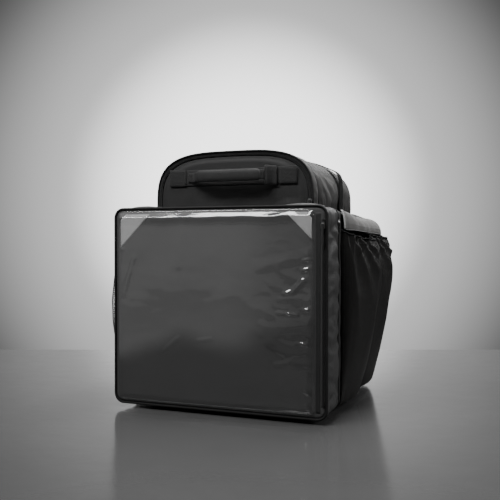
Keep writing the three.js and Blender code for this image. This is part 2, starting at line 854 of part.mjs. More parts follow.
// The webbing runs straight through the adjuster and then comes in to the foot of the back
function webbingRoute() {
  const curve = strapRouteCurve();
  const way = curve.getTangent(1);
  const start = curve.getPoint(1).addScaledVector(way, clearance);
  const bend = start.clone().addScaledVector(way, adjusterSize.length + 2 * adjusterGap);
  const last = at(0, webbing + clearance, strapWebbingLow);
  const pulled = (last.z - bend.z) / 2;
  const hang = new THREE.CubicBezierCurve3(
    bend,
    bend.clone().addScaledVector(way, -pulled * 0.8),
    at(0, last.y, last.z - pulled),
    last,
  );
  return [start, ...hang.getPoints(12)];
}

function strapWebbing() {
  return tape(webbingRoute(), at(1, 0, 0), strapWebbingWidth, webbing);
}

// A plain frame that the webbing runs straight through, just below the padding
function strapAdjuster() {
  const [start] = webbingRoute();
  const way = strapRouteCurve().getTangent(1);
  const out = way.clone().cross(at(1, 0, 0)).normalize();
  const ring = (along, width, thickness) => {
    const middle = start.clone().addScaledVector(way, along);
    middle.addScaledVector(out, webbing / 2);
    return [
      [1, 1],
      [-1, 1],
      [-1, -1],
      [1, -1],
    ].map(([x, y]) =>
      middle
        .clone()
        .addScaledVector(at(1, 0, 0), (x * width) / 2)
        .addScaledVector(out, (y * thickness) / 2),
    );
  };
  const from = adjusterGap;
  const to = from + adjusterSize.length;
  const slot = { width: strapWebbingWidth + 2 * clearance, thickness: webbing + 4 * clearance };
  return loft(
    [
      ring(from, adjusterSize.width, adjusterSize.thickness),
      ring(to, adjusterSize.width, adjusterSize.thickness),
      ring(to, slot.width, slot.thickness),
      ring(from, slot.width, slot.thickness),
    ],
    true,
  );
}

function haulLoop() {
  const points = haulLoopBends.map(({ along, out }) =>
    at((along * haulLoopSpan) / 2, clearance + out * haulLoopStandOff, 0),
  );
  const path = new THREE.CatmullRomCurve3(points, false, "centripetal").getPoints(24);
  return tape(path, at(0, 0, 1), haulLoopWidth, -webbing);
}

const part = new THREE.Group();
const bag = new THREE.Group();
part.add(bag);

function groupAt(parent, x, y, z) {
  const group = new THREE.Group();
  group.position.set(x, y, z);
  parent.add(group);
  return group;
}

function add(parent, name, geometry, material, x = 0, y = 0, z = 0) {
  const mesh = new THREE.Mesh(geometry, material);
  mesh.name = name;
  mesh.position.set(x, y, z);
  parent.add(mesh);
}

// Box and cover
add(bag, "main_shell", mainShell(), blackCloth);
add(bag, "front_cover", frontCover(), blackCloth);
add(bag, "front_piping", frontPiping(), pipingCord);
add(bag, "door_zip", doorZip(), zipTape);

// The two door sliders meet at the top right, one on the top panel and one round on the side
const doorMiddle = coverDepth + doorZipWidth / 2;
const onCoil = clearance - doorZipRise;
const besideCorner = edgeRadius + slider.height;
const topSlider = groupAt(bag, boxWidth / 2 - besideCorner, doorMiddle, boxTop + onCoil);
topSlider.rotation.set(-Math.PI / 2, Math.PI / 2, 0);
add(topSlider, "door_slider_top", zipSlider(slider.width, slider.height, slider.thickness), moulded);
const sideSlider = groupAt(bag, boxWidth / 2 + onCoil, doorMiddle, boxTop - besideCorner);
sideSlider.rotation.set(0, 0, Math.PI / 2);
add(sideSlider, "door_slider_side", zipSlider(slider.width, slider.height, slider.thickness), moulded);
for (const [name, group] of [
  ["door_pull_top", topSlider],
  ["door_pull_side", sideSlider],
]) {
  const tab = zipPull(pull.width, pull.length, pull.thickness);
  add(group, name, tab, moulded, 0, -slider.thickness - clearance, slider.height * 0.2);
}

// Front face, from the cloth outwards
const sheetWidth = windowWidth - 2 * windowEdge;
const sheetHeight = windowHeight - 2 * windowEdge;
add(
  bag,
  "insert_sheet",
  box(sheetWidth, sheetThickness, sheetHeight),
  darkSheet,
  windowLeft + windowWidth / 2,
  -clearance - sheetThickness / 2,
  windowLow + windowHeight / 2,
);
const tabTop = windowLow + windowHeight - windowEdge;
const tabFront = -2 * clearance - sheetThickness;
const tabs = { left: cornerTab(-1, tabLegs.left), right: cornerTab(1, tabLegs.right) };
add(bag, "corner_tab_left", tabs.left, greyTab, windowLeft + windowEdge, tabFront, tabTop);
add(bag, "corner_tab_right", tabs.right, greyTab, windowRight - windowEdge, tabFront, tabTop);
add(bag, "window", windowSheet(), clearVinyl);

const stripLeft = windowRight + 2 * clearance;
const zipLeft = faceRight - sleeveZipWidth;
const stripWidth = zipLeft - clearance - stripLeft;
const stripHeight = boxHeight - 2 * pipingSeat.inset;
const faceMiddle = baseDrop + boxHeight / 2;
add(
  bag,
  "window_strip",
  box(stripWidth, sleeveTape, stripHeight - edgeRadius / 2),
  blackCloth,
  stripLeft + stripWidth / 2,
  -clearance - sleeveTape / 2,
  faceMiddle,
);
const sleeveSection = [
  [-sleeveZipWidth / 2, 0],
  [sleeveZipWidth / 2, 0],
  [sleeveZipWidth / 2, sleeveTape / 2],
  [sleeveCoil.width / 2, sleeveTape / 2],
  [sleeveCoil.width / 2, sleeveCoil.rise],
  [-sleeveCoil.width / 2, sleeveCoil.rise],
  [-sleeveCoil.width / 2, sleeveTape / 2],
  [-sleeveZipWidth / 2, sleeveTape / 2],
];
const sleeveZipHeight = stripHeight - 2 * edgeRadius;
const sleeveZipMiddle = faceRight - sleeveZipWidth / 2;
const sleeveZip = new THREE.ExtrudeGeometry(
  new THREE.Shape(sleeveSection.map(([x, y]) => new THREE.Vector2(x, y))),
  { depth: sleeveZipHeight, bevelEnabled: false },
);
const sleeve = groupAt(bag, sleeveZipMiddle, -clearance, faceMiddle);
add(sleeve, "sleeve_zip", sleeveZip.rotateX(Math.PI).translate(0, 0, sleeveZipHeight / 2), zipTape);
const sliderTop = sleeveZipHeight / 2 - slider.height;
const sliderFront = -sleeveCoil.rise - clearance;
add(
  sleeve,
  "sleeve_zip_slider",
  zipSlider(slider.width, slider.height, slider.thickness),
  moulded,
  0,
  sliderFront,
  sliderTop,
);
add(
  sleeve,
  "sleeve_zip_pull",
  zipPull(pull.width * 0.7, sleevePullLength, pull.thickness),
  moulded,
  0,
  sliderFront - slider.thickness - clearance,
  sliderTop + slider.height * 0.2,
);

// Hood
const hood = groupAt(bag, 0, hoodFront, boxTop + clearance);
add(hood, "hood_shell", hoodShell(), sideCloth);
add(hood, "hood_front", hoodFrontPanel(), blackCloth);
add(hood, "hood_zip", hoodZip(), zipTape);
add(hood, "hood_piping", hoodPipingTube(), pipingCord);
add(hood, "over_strap", overStrap(), webbingTape);
const besidePiping = hoodPipingInset + hoodPipingRadius + 2 * clearance + slider.width / 2;
const hoodSliderPlace = hoodWidth / 2 - besidePiping;
const hoodSlider = groupAt(hood, hoodSliderPlace, -2 * clearance - webbing, slider.height);
const hoodSliderShape = zipSlider(slider.width, slider.height, slider.thickness);
add(hoodSlider, "hood_zip_slider", hoodSliderShape, moulded);
add(
  hoodSlider,
  "hood_zip_pull",
  zipPull(pull.width, hoodPullLength, pull.thickness),
  moulded,
  0,
  -slider.thickness - clearance,
  slider.height * 0.2,
);

// Carry handle, laid on the flat middle of the hood's front panel
const handle = groupAt(hood, 0, -hoodPanelCrown - clearance, handleHeight);
const onBase = -webbing - clearance;
const handleBase = box(handleLength, webbing, handleWidth);
add(handle, "handle_base", handleBase, webbingTape, 0, -webbing / 2, 0);
for (const [name, hand] of [
  ["handle_patch_left", -1],
  ["handle_patch_right", 1],
]) {
  add(
    handle,
    name,
    box(handlePatch, webbing, handleWidth + 2),
    webbingTape,
    hand * (handleLength / 2 - handlePatch / 2 + 1),
    onBase - webbing / 2,
    0,
  );
}
const grip = groupAt(handle, 0, onBase, 0);
add(grip, "handle_strap", handleStrap(), webbingTape);
add(grip, "handle_grip", handleGrip(), blackCloth);
add(grip, "handle_keeper", handleKeeper(), webbingTape);

// Sides
add(bag, "side_flap", sideFlap(), sideCloth);
const pockets = [
  { name: "pocket_front", sizes: sidePocket(pocketStart, pocketBulge.front), material: sideCloth },
  { name: "pocket_rear", sizes: sidePocket(rearPocketStart, pocketBulge.rear), material: sideCloth },
  { name: "mesh_pocket", sizes: bottlePocket, material: netting },
];
for (const { name, sizes, material } of pockets) {
  add(bag, name, pocket(sizes), material);
  add(bag, name + "_rim", pocketRim(sizes), webbingTape);
}

// Back
const back = groupAt(bag, 0, boxDepth, 0);
add(back, "back_pad", backPad(), blackCloth);
for (const [suffix, hand] of [
  ["left", -1],
  ["right", 1],
]) {
  const x = (hand * strapSpacing) / 2;
  add(back, "shoulder_strap_" + suffix, shoulderStrap(), blackCloth, x);
  add(back, "strap_webbing_" + suffix, strapWebbing(), webbingTape, x);
  add(back, "strap_adjuster_" + suffix, strapAdjuster(), moulded, x);
}
add(back, "haul_loop", haulLoop(), webbingTape, 0, 0, haulLoopHeight);

// The origin goes to the middle of the footprint, on the floor
const reach = new THREE.Box3().setFromObject(bag);
const middle = reach.getCenter(at(0, 0, 0));
bag.position.set(-middle.x, -middle.y, -reach.min.z);

export default part;
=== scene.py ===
"""The looks of an insulated delivery backpack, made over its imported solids.

Places are worked out in millimetres in the bag's own coordinates: the front face is y = 0 and the
bag reaches back along +Y, the middle of its width is x = 0 and the floor is z = 0. make_piece moves
them into the frame of the solids, in metres.
"""

import math

import bmesh
import bpy
import numpy as np
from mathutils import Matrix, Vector, noise


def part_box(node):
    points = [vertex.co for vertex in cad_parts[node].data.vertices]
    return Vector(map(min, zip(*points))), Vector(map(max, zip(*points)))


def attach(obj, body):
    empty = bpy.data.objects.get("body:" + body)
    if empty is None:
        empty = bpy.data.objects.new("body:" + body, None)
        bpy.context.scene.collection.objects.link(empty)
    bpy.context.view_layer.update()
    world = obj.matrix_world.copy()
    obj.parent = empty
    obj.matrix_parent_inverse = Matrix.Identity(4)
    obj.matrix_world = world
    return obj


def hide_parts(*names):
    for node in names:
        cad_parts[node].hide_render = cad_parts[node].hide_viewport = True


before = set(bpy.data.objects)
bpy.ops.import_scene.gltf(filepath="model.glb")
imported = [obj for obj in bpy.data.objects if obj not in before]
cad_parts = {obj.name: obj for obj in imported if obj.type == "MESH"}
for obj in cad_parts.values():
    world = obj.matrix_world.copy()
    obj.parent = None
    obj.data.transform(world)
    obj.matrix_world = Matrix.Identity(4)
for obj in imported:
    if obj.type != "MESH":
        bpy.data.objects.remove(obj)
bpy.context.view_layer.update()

MM = 0.001
cover_low, cover_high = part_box("front_cover")
BAG = np.array([(cover_low.x + cover_high.x) / 2, cover_low.y, 0.0])

# The sizes of the solids, millimetres
BOX_WIDTH, BOX_HEIGHT, BOX_DEPTH = 474, 420, 460
BASE_DROP, FRONT_RISE, REAR_RISE, SIDE_RISE = 10, 0.3, 0.12, 0.15
BOX_TOP = BASE_DROP + BOX_HEIGHT
EDGE_RADIUS, REAR_RADIUS, WALL = 20, 6, 8
SIDE_CROWN, SHOULDER_SAG, GAP = 6, 12, 0.3
COVER_DEPTH, SHELL_FRONT = 88, 98
PIPING_SEAT, PIPING_RADIUS = 7, 2.6
WINDOW_LEFT, WINDOW_RIGHT, WINDOW_LOW, WINDOW_TOP = -227, 213, 17, 423
HOOD_WIDTH, HOOD_HEIGHT, HOOD_FRONT, HOOD_LENGTH = 366, 126, 98.3, 355.7
HOOD_FLOOR, ARCH_POWER = 430.3, 3.5
OVER_STRAP = {"width": 30, "lift": 7, "place": 0.665}
WEBBING = 1.6
HANDLE = {"height": 500.3, "y": 93, "length": 296, "width": 35, "patch": 40, "strap": 20}
GRIP = {"start": -71, "end": 75, "stand_off": 26, "height": 26, "thickness": 15}
KEEPER = {"width": 41, "thickness": 2.5, "clear": 0.6}
STRIP = {"left": 213.6, "right": 223.9, "low": 24, "high": 416, "thickness": 1.6}
RING = {"radius": 3.4, "wire": 0.7}
POCKET_WIDTH, POCKET_START, REAR_POCKET_START = 164, 113, 285
FLAP = {"start": 122, "length": 285, "thickness": 2, "drop": 0.106, "rear_drop": 0.022, "reach": 63}
BACK_PAD = {"width": 330, "height": 285, "thickness": 14, "low": 92}
STRAP = {"spacing": 190, "width": 60, "thickness": 10, "top": 405, "stand_off": 72, "length": 265}
HAUL_LOOP = {"height": 395, "half_span": 40, "stand_off": 20}
STRAP_TAIL_END = 48
NARROW_WEBBING = 25


def smooth(value, low, high):
    """0 below low, 1 above high, and smooth between them."""
    share = np.clip((np.asarray(value, float) - low) / (high - low), 0, 1)
    return share * share * (3 - 2 * share)


def hump(share):
    """0 at both ends of a side and 1 at its middle."""
    return np.maximum(0, 4 * share * (1 - share))


def cloudy(points, size, seed=0.0):
    """Soft noise from -1 to 1 at each point. size is how wide its clouds are, in millimetres."""
    places = np.asarray(points, float).reshape(-1, 3) / size + seed
    return np.array([noise.noise(Vector(p)) for p in places]).reshape(np.shape(points)[:-1])


def crests(points, size, seed=0.0):
    """Sharp crests between soft hollows, from 0 to 1 at the crest."""
    return 1 - np.minimum(1, 2.2 * np.abs(cloudy(points, size, seed)))


# Finishes


class Wire:
    """A node's output. Its operators add the Math nodes that they stand for."""

    def __init__(self, finish, socket):
        self.finish, self.socket = finish, socket

    def __add__(self, other):
        return self.finish.maths("ADD", self, other)

    def __sub__(self, other):
        return self.finish.maths("SUBTRACT", self, other)

    def __mul__(self, other):
        return self.finish.maths("MULTIPLY", self, other)

    def __rsub__(self, other):
        return self.finish.maths("SUBTRACT", other, self)

    def __pow__(self, other):
        return self.finish.maths("POWER", self, other)

    __radd__ = __add__
    __rmul__ = __mul__


class Finish:
    """A material, or another node tree, written down node by node."""

    def __init__(self, tree):
        self.tree = tree

    def node(self, kind, values=None, output=0, **settings):
        node = self.tree.nodes.new(kind)
        for name, value in settings.items():
            setattr(node, name, value)
        for name, value in (values or {}).items():
            socket = node.inputs[name]
            if isinstance(value, Wire):
                self.tree.links.new(value.socket, socket)
            else:
                socket.default_value = value
        return Wire(self, node.outputs[output]) if len(node.outputs) else node

    def maths(self, operation, *values):
        return self.node("ShaderNodeMath", dict(enumerate(values)), operation=operation)

    def sine(self, value):
        return self.maths("SINE", value)

    def step(self, value, low, high):
        """0 below low, 1 above high, and smooth between them."""
        sockets = {"Value": value, "From Min": low, "From Max": high}
        return self.node("ShaderNodeMapRange", sockets, interpolation_type="SMOOTHSTEP")

    def places(self, source="Object"):
        return self.node("ShaderNodeTexCoord", output=source)

    def parts(self, vector):
        node = self.node("ShaderNodeSeparateXYZ", {0: vector}).socket.node
        return [Wire(self, output) for output in node.outputs]

    def cloud(self, scale, detail=3.0, roughness=0.55, stretch=None):
        where = self.places()
        if stretch:
            where = self.node("ShaderNodeMapping", {"Vector": where, "Scale": stretch})
        sockets = {"Vector": where, "Scale": scale, "Detail": detail, "Roughness": roughness}
        return self.node("ShaderNodeTexNoise", sockets)

    def blend(self, mask, first, second):
        """The first colour where mask is 0 and the second where it is 1."""
        return self.node("ShaderNodeMix", {0: mask, 6: first, 7: second}, output=2, data_type="RGBA")

    def bump(self, height, depth, normal=None):
        """depth is how high a height of 1 stands, in metres."""
        sockets = {"Height": height, "Distance": depth, "Strength": 1.0}
        if normal:
            sockets["Normal"] = normal
        return self.node("ShaderNodeBump", sockets)


def finish_named(name):
    material = bpy.data.materials.new(name)
    material.use_nodes = True
    material.node_tree.nodes.clear()
    return material, Finish(material.node_tree)


def surface(made, **sockets):
    """The Principled shader with these sockets, joined to the output."""
    values = {}
    for name, value in sockets.items():
        values[name.replace("_", " ").title().replace("Ior", "IOR")] = value
    shader = made.node("ShaderNodeBsdfPrincipled", values)
    made.node("ShaderNodeOutputMaterial", {"Surface": shader})


def grey(value, warmth=0.0):
    return (value * (1 + warmth), value, value * (1 - warmth), 1)


def weave(made, pitch):
    """An egg-crate height with its threads along the three axes, which reads as a plain weave."""
    turn = 2 * math.pi / pitch
    return sum((made.sine(part * turn) for part in made.parts(made.places())), 0.0) * 0.33


CLOTH_PITCH, PIPING_PITCH = 0.0016, 0.0011


def woven_cloth(name, tone, warmth=0.0, roughness=0.62, wrinkle=0.0011, sheen=0.1, shine=0.3):
    """Coated woven cloth: threads, small creases, a little dust and shine where it is handled."""
    material, made = finish_named(name)
    threads = weave(made, CLOTH_PITCH)
    creases = made.cloud(26, 4.0, 0.6)
    patches = made.cloud(9, 3.0, 0.5)
    slubs = made.cloud(420, 2.0, 0.5, stretch=(1.0, 1.0, 0.25))
    dust = made.step(made.cloud(60, 5.0, 0.7), 0.52, 0.8)
    lit = made.blend(patches, grey(tone * 0.75, warmth), grey(tone * 1.25, warmth))
    lit = made.blend(slubs * 0.35, lit, grey(tone * 1.7, warmth))
    lit = made.blend(dust * 0.05, lit, grey(0.22, 0.03))
    surface(
        made,
        base_color=lit,
        roughness=roughness - patches * 0.14 + threads * 0.05,
        normal=made.bump(threads, 0.00012, made.bump(creases, wrinkle)),
        sheen_weight=sheen,
        sheen_roughness=0.5,
        specular_ior_level=shine,
    )
    return material


def ribbed_webbing(name, tone, rib=0.0028, across=0.0022, shine=0.35):
    """Webbing: ribs along it and picks across, read from the strip's own map in metres."""
    material, made = finish_named(name)
    u, v, _ = made.parts(made.places("UV"))
    ribs = made.maths("ABSOLUTE", made.sine(u * (math.pi / rib)))
    picks = made.sine(v * (2 * math.pi / across) + made.sine(u * (math.pi / rib)) * 1.4)
    height = ribs * 0.7 + picks * 0.3
    worn = made.cloud(45, 4.0, 0.6)
    # Painted shade: the colour is darker in the grooves between the ribs and lighter on their crests,
    # following the bump's height.
    lit = made.blend(height * 0.6, grey(tone * 0.55), grey(tone * 1.35))
    lit = made.blend(made.step(worn, 0.5, 0.85) * 0.25, lit, grey(tone * 2.6, 0.02))
    surface(
        made,
        base_color=lit,
        roughness=0.62 + worn * 0.12,
        normal=made.bump(height, 0.00045),
        sheen_weight=shine * 0.2,
        specular_ior_level=shine,
    )
    return material


def spacer_mesh(name, tone):
    """Padded spacer cloth of the back and the straps: small round cells over foam."""
    material, made = finish_named(name)
    cells = made.node(
        "ShaderNodeTexVoronoi",
        {"Vector": made.places(), "Scale": 260.0, "Randomness": 0.25},
        feature="F1",
    )
    hollow = made.step(cells, 0.15, 0.55)
    soft = made.cloud(14, 3.0, 0.5)
    # Painted shade: each cell is darker in its hollow and lighter on its rim, following the bump's height.
    lit = made.blend(hollow, grey(tone * 0.35), grey(tone * 1.2))
    surface(
        made,
        base_color=made.blend(soft * 0.5, lit, grey(tone * 0.8)),
        roughness=0.8 - hollow * 0.1,
        normal=made.bump(hollow, 0.0006, made.bump(soft, 0.002)),
        sheen_weight=0.3,
    )
    return material


def moulded_plastic(name, tone, roughness=0.38, metal=0.0):
    material, made = finish_named(name)
    grain = made.cloud(900, 3.0, 0.6)
    rubbed = made.cloud(120, 4.0, 0.6)
    surface(
        made,
        base_color=made.blend(made.step(rubbed, 0.5, 0.8) * 0.3, grey(tone), grey(tone * 2.4)),
        roughness=roughness + rubbed * 0.15,
        normal=made.bump(grain, 0.00005),
        metallic=metal,
    )
    return material


def coated_piping(name, tone):
    material, made = finish_named(name)
    wave = made.cloud(70, 3.0, 0.55)
    threads = weave(made, PIPING_PITCH)
    surface(
        made,
        base_color=made.blend(wave, grey(tone * 0.7), grey(tone * 1.4)),
        roughness=0.62 + wave * 0.12,
        normal=made.bump(threads, 0.00006, made.bump(wave, 0.0006)),
        specular_ior_level=0.15,
    )
    return material


def clear_vinyl(name):
    """Clear flexible vinyl: mostly seen through, with a wet gloss and soft waves. Its upper part is
    painted lighter and less clear, a painted reflection of a bright room, weaker towards the right."""
    material, made = finish_named(name)
    slack = made.cloud(6, 1.0, 0.4)
    waves = made.cloud(17, 1.5, 0.4, stretch=(1.0, 1.0, 1.5))
    scuffs = made.cloud(90, 5.0, 0.75, stretch=(0.3, 1.0, 1.0))
    x, _, z = made.parts(made.places())
    # Painted reflection: above this wavy line, which stands higher on the right, the vinyl is painted lighter
    # and less clear, and only half as much on the right.
    edge = z + slack * 0.14 - made.step(x, 0.02, 0.2) * 0.06
    painted_reflection = made.step(edge, 0.18, 0.25) * (1 - made.step(x, 0.05, 0.2) * 0.5)
    relief = made.bump(waves, 0.0016, made.bump(slack, 0.005))
    dull = made.step(scuffs, 0.5, 0.85)
    skin = made.node(
        "ShaderNodeBsdfPrincipled",
        {"Base Color": made.blend(painted_reflection, grey(0.08), grey(0.28)), "Roughness": 0.3, "Normal": relief},
    )
    gloss = made.node(
        "ShaderNodeBsdfPrincipled",
        {"Base Color": grey(1), "Metallic": 1.0, "Roughness": dull * 0.1 + 0.07, "Normal": relief},
    )
    clear = made.node("ShaderNodeBsdfTransparent", {"Color": grey(0.9)})
    body = made.node("ShaderNodeMixShader", {0: painted_reflection * 0.08 + 0.26 + dull * 0.05, 1: clear, 2: skin})
    mixed = made.node("ShaderNodeMixShader", {0: 0.1, 1: body, 2: gloss})
    made.node("ShaderNodeOutputMaterial", {"Surface": mixed})
    return material


def plain_sheet(name, tone, roughness, relief):
    material, made = finish_named(name)
    soft = made.cloud(8, 3.0, 0.5)
    fine = made.cloud(300, 3.0, 0.6)
    surface(
        made,
        base_color=made.blend(soft, grey(tone * 0.85), grey(tone * 1.15)),
        roughness=roughness + fine * 0.1,
        normal=made.bump(soft, relief),
    )
    return material


def studio_floor(name):
    """Pale polished concrete."""
    material, made = finish_named(name)
    broad = made.cloud(1.6, 5.0, 0.6)
    fine = made.cloud(22, 6.0, 0.65)
    surface(
        made,
        base_color=made.blend(fine * 0.35, made.blend(broad, grey(0.06), grey(0.1)), grey(0.05)),
        roughness=0.1 + fine * 0.1,
        normal=made.bump(fine, 0.0002),
        specular_ior_level=0.5,
    )
    return material


BLACK_CLOTH = woven_cloth("black_coated_cloth", 0.036, 0.0, 0.72, 0.0018, sheen=0.0, shine=0.12)
# Painted light: the door's cloth is the black cloth made about half again as light, for the light that falls
# on its gusset.
COVER_CLOTH = woven_cloth("cover_cloth", 0.055, 0.0, 0.62, 0.0018, sheen=0.0, shine=0.2)
PANEL_CLOTH = woven_cloth("hood_panel_cloth", 0.026, 0.0, 0.72, 0.0007, sheen=0.02, shine=0.2)
SIDE_CLOTH = woven_cloth("olive_grey_side_cloth", 0.028, 0.025, 0.65, 0.0018, sheen=0.05, shine=0.2)
POCKET_CLOTH = woven_cloth("dark_olive_pocket_cloth", 0.018, 0.03, 0.48, 0.0016, sheen=0.0, shine=0.25)
# Painted light: the flap's cloth is the olive grey side cloth made over three times as light, for the light
# that falls on the flap's upper face.
FLAP_CLOTH = woven_cloth("olive_grey_flap_cloth", 0.1, 0.025, 0.55, 0.0012)
STRIP_CLOTH = woven_cloth("window_strip_cloth", 0.016, 0.0, 0.7, 0.0005)
EDGE_WEBBING = ribbed_webbing("black_webbing", 0.018)
STRAP_WEBBING = ribbed_webbing("over_strap_black", 0.006, shine=0.08)
POCKET_ELASTIC = ribbed_webbing("pocket_elastic", 0.01, 0.0014, 0.0012, shine=0.1)
BINDING = ribbed_webbing("edge_binding", 0.03, 0.0014, 0.0012)
LIGHT_BINDING = ribbed_webbing("flap_edge_binding", 0.6, 0.0014, 0.0012)
PIPING = coated_piping("black_piping", 0.014)
ZIP_TAPE = ribbed_webbing("zip_tape", 0.028, 0.0011, 0.0012)
ZIP_TEETH = moulded_plastic("zip_teeth", 0.02, 0.3)
MOULDED = moulded_plastic("moulded_black", 0.018)
SLIDER = moulded_plastic("dark_slider", 0.22, 0.22, metal=1.0)
VINYL = clear_vinyl("clear_vinyl")
SHEET = plain_sheet("plain_dark_sheet", 0.028, 0.7, 0.003)
TAB = woven_cloth("light_grey_tab", 0.75, 0.0, 0.6, 0.0004, sheen=0.0)
SPACER = spacer_mesh("spacer_mesh", 0.03)
NETTING = moulded_plastic("dark_net", 0.07, 0.6)
THREAD = moulded_plastic("black_thread", 0.03, 0.6)
GREY_THREAD = moulded_plastic("grey_thread", 0.035, 0.6)

# Meshes


def make_piece(name, points, faces, material, maps=None):
    mesh = bpy.data.meshes.new(name)
    places = np.asarray(points, float).reshape(-1, 3) * MM + BAG
    mesh.from_pydata(places.tolist(), [], [list(map(int, face)) for face in faces])
    if maps is not None:
        layer = mesh.uv_layers.new(name="cloth")
        layer.data.foreach_set("uv", np.asarray(maps, np.float32).ravel())
    mesh.materials.append(material)
    mesh.shade_smooth()
    piece = bpy.data.objects.new(name, mesh)
    bpy.context.scene.collection.objects.link(piece)
    return piece


def loft(name, rows, material, around=False, ends=False):
    """A surface through rows of points. around joins the two ends of each row, and ends closes the
    first and the last row. Its map is in metres, across the rows and along them."""
    rows = np.asarray(rows, float)
    count, width = rows.shape[:2]
    wide = np.concatenate([rows, rows[:, :1]], axis=1) if around else rows
    zeros = np.zeros((count, 1))
    u = np.concatenate([zeros, np.linalg.norm(np.diff(wide, axis=1), axis=2).cumsum(1)], axis=1)
    steps = np.linalg.norm(np.diff(wide, axis=0), axis=2).mean(1)
    v = np.repeat(np.concatenate([[0], steps.cumsum()])[:, None], u.shape[1], axis=1)
    flat = np.stack([u, v], axis=2) * MM
    faces, maps = [], []
    for i in range(count - 1):
        for j in range(wide.shape[1] - 1):
            k = (j + 1) % width
            faces.append((i * width + j, i * width + k, (i + 1) * width + k, (i + 1) * width + j))
            maps += [flat[i, j], flat[i, j + 1], flat[i + 1, j + 1], flat[i + 1, j]]
    if ends:
        for row, turn in ((0, -1), (count - 1, 1)):
            for face in closing_faces(width):
                face = face[::turn]
                faces.append([row * width + j for j in face])
                maps += [flat[row, j] for j in face]
    piece = make_piece(name, rows, faces, material, maps)
    if around and ends:
        face_outwards(piece)
    return piece


def closing_faces(width):
    """Strips across a ring of points, which close it without a many-sided face."""
    strips = []
    for j in range((width - 1) // 2):
        a, b, c, d = j, j + 1, width - 2 - j, width - 1 - j
        strips.append([a, b, d] if b == c else [a, b, c, d])
    return strips


def face_outwards(piece):
    shape = bmesh.new()
    shape.from_mesh(piece.data)
    bmesh.ops.recalc_face_normals(shape, faces=shape.faces)
    shape.to_mesh(piece.data)
    shape.free()


def face_along(piece, y):
    """Turns an open panel's faces to the front, where y is -1, or to the rear, where it is 1."""
    if sum(face.normal.y * face.area for face in piece.data.polygons) * y < 0:
        piece.data.flip_normals()
    return piece


def turn_out(piece, middle):
    """Points a panel's faces away from a point inside the bag."""
    inside = Vector(np.asarray(middle, float) * MM + BAG)
    score = sum((face.center - inside).dot(face.normal) * face.area for face in piece.data.polygons)
    if score < 0:
        piece.data.flip_normals()
    return piece


def rounded(piece):
    """A live subdivision, the same for the view and the render."""
    modifier = piece.modifiers.new("rounding", "SUBSURF")
    modifier.levels = modifier.render_levels = 1
    return piece


def thicken(piece, thickness, offset=-1.0):
    modifier = piece.modifiers.new("cloth thickness", "SOLIDIFY")
    modifier.thickness = thickness * MM
    modifier.offset = offset
    return piece


def apply_modifiers(piece):
    """Turns the evaluated piece into a plain mesh and removes its modifiers."""
    depsgraph = bpy.context.evaluated_depsgraph_get()
    depsgraph.update()
    made = bpy.data.meshes.new_from_object(piece.evaluated_get(depsgraph))
    piece.modifiers.clear()
    piece.data = made
    return piece


def directions(path):
    """The direction of a path at each of its points."""
    path = np.asarray(path, float)
    ahead = np.gradient(path, axis=0)
    return ahead / np.maximum(np.linalg.norm(ahead, axis=1, keepdims=True), 1e-9)


def even(path, spacing, closed=False):
    """The same path with its points evenly spaced."""
    path = np.asarray(path, float)
    if closed:
        path = np.vstack([path, path[:1]])
    along = np.concatenate([[0], np.linalg.norm(np.diff(path, axis=0), axis=1).cumsum()])
    count = max(3, int(round(along[-1] / spacing)) + 1)
    wanted = np.linspace(0, along[-1], count)
    out = np.stack([np.interp(wanted, along, path[:, axis]) for axis in range(3)], axis=1)
    return out[:-1] if closed else out


def squarish(width, height, across, up, count):
    """A closed section between an oval, where the powers are 1, and a box, where they are small."""
    turns = np.linspace(0, 2 * math.pi, count, endpoint=False)
    c, s = np.cos(turns), np.sin(turns)
    x = np.sign(c) * np.abs(c) ** across * width / 2
    y = np.sign(s) * np.abs(s) ** up * height / 2
    return list(zip(x, y))


def curve(points, count):
    """A smooth path through a few points, which bends less where they are close together."""
    points = [np.asarray(p, float) for p in points]
    points = [2 * points[0] - points[1], *points, 2 * points[-1] - points[-2]]
    spans, out = len(points) - 3, []
    for k in range(count + 1):
        place = min(k / count * spans, spans - 1e-9)
        i = int(place)
        p = points[i : i + 4]
        t = [0.0]
        for a, b in zip(p, p[1:]):
            t.append(t[-1] + max(1e-6, np.linalg.norm(b - a)) ** 0.5)
        x = t[1] + (place - i) * (t[2] - t[1])
        a = [(p[n] * (t[n + 1] - x) + p[n + 1] * (x - t[n])) / (t[n + 1] - t[n]) for n in range(3)]
        b = [(a[n] * (t[n + 2] - x) + a[n + 1] * (x - t[n])) / (t[n + 2] - t[n]) for n in range(2)]
        out.append((b[0] * (t[2] - x) + b[1] * (x - t[1])) / (t[2] - t[1]))
    return np.array(out)


def ribbon(name, path, side, width, thickness, material, spacing=4.0):
    """Webbing along a path, its width along side, with soft edges. It lies between the path and
    thickness out from it, out being side x path."""
    path = even(path, spacing)
    along = directions(path)
    side = np.broadcast_to(np.asarray(side, float), path.shape)
    out = np.cross(side, along)
    out /= np.linalg.norm(out, axis=1, keepdims=True)
    across = np.array([-0.5, -0.47, -0.25, 0, 0.25, 0.47, 0.5])
    upper = [(x * width, thickness * (1 if abs(x) < 0.48 else 0.7)) for x in across]
    lower = [(x * width, thickness * (0 if abs(x) < 0.48 else 0.3)) for x in across[::-1]]
    rows = [[p + s * x + o * y for x, y in upper + lower] for p, s, o in zip(path, side, out)]
    return loft(name, rows, material, around=True, ends=True)


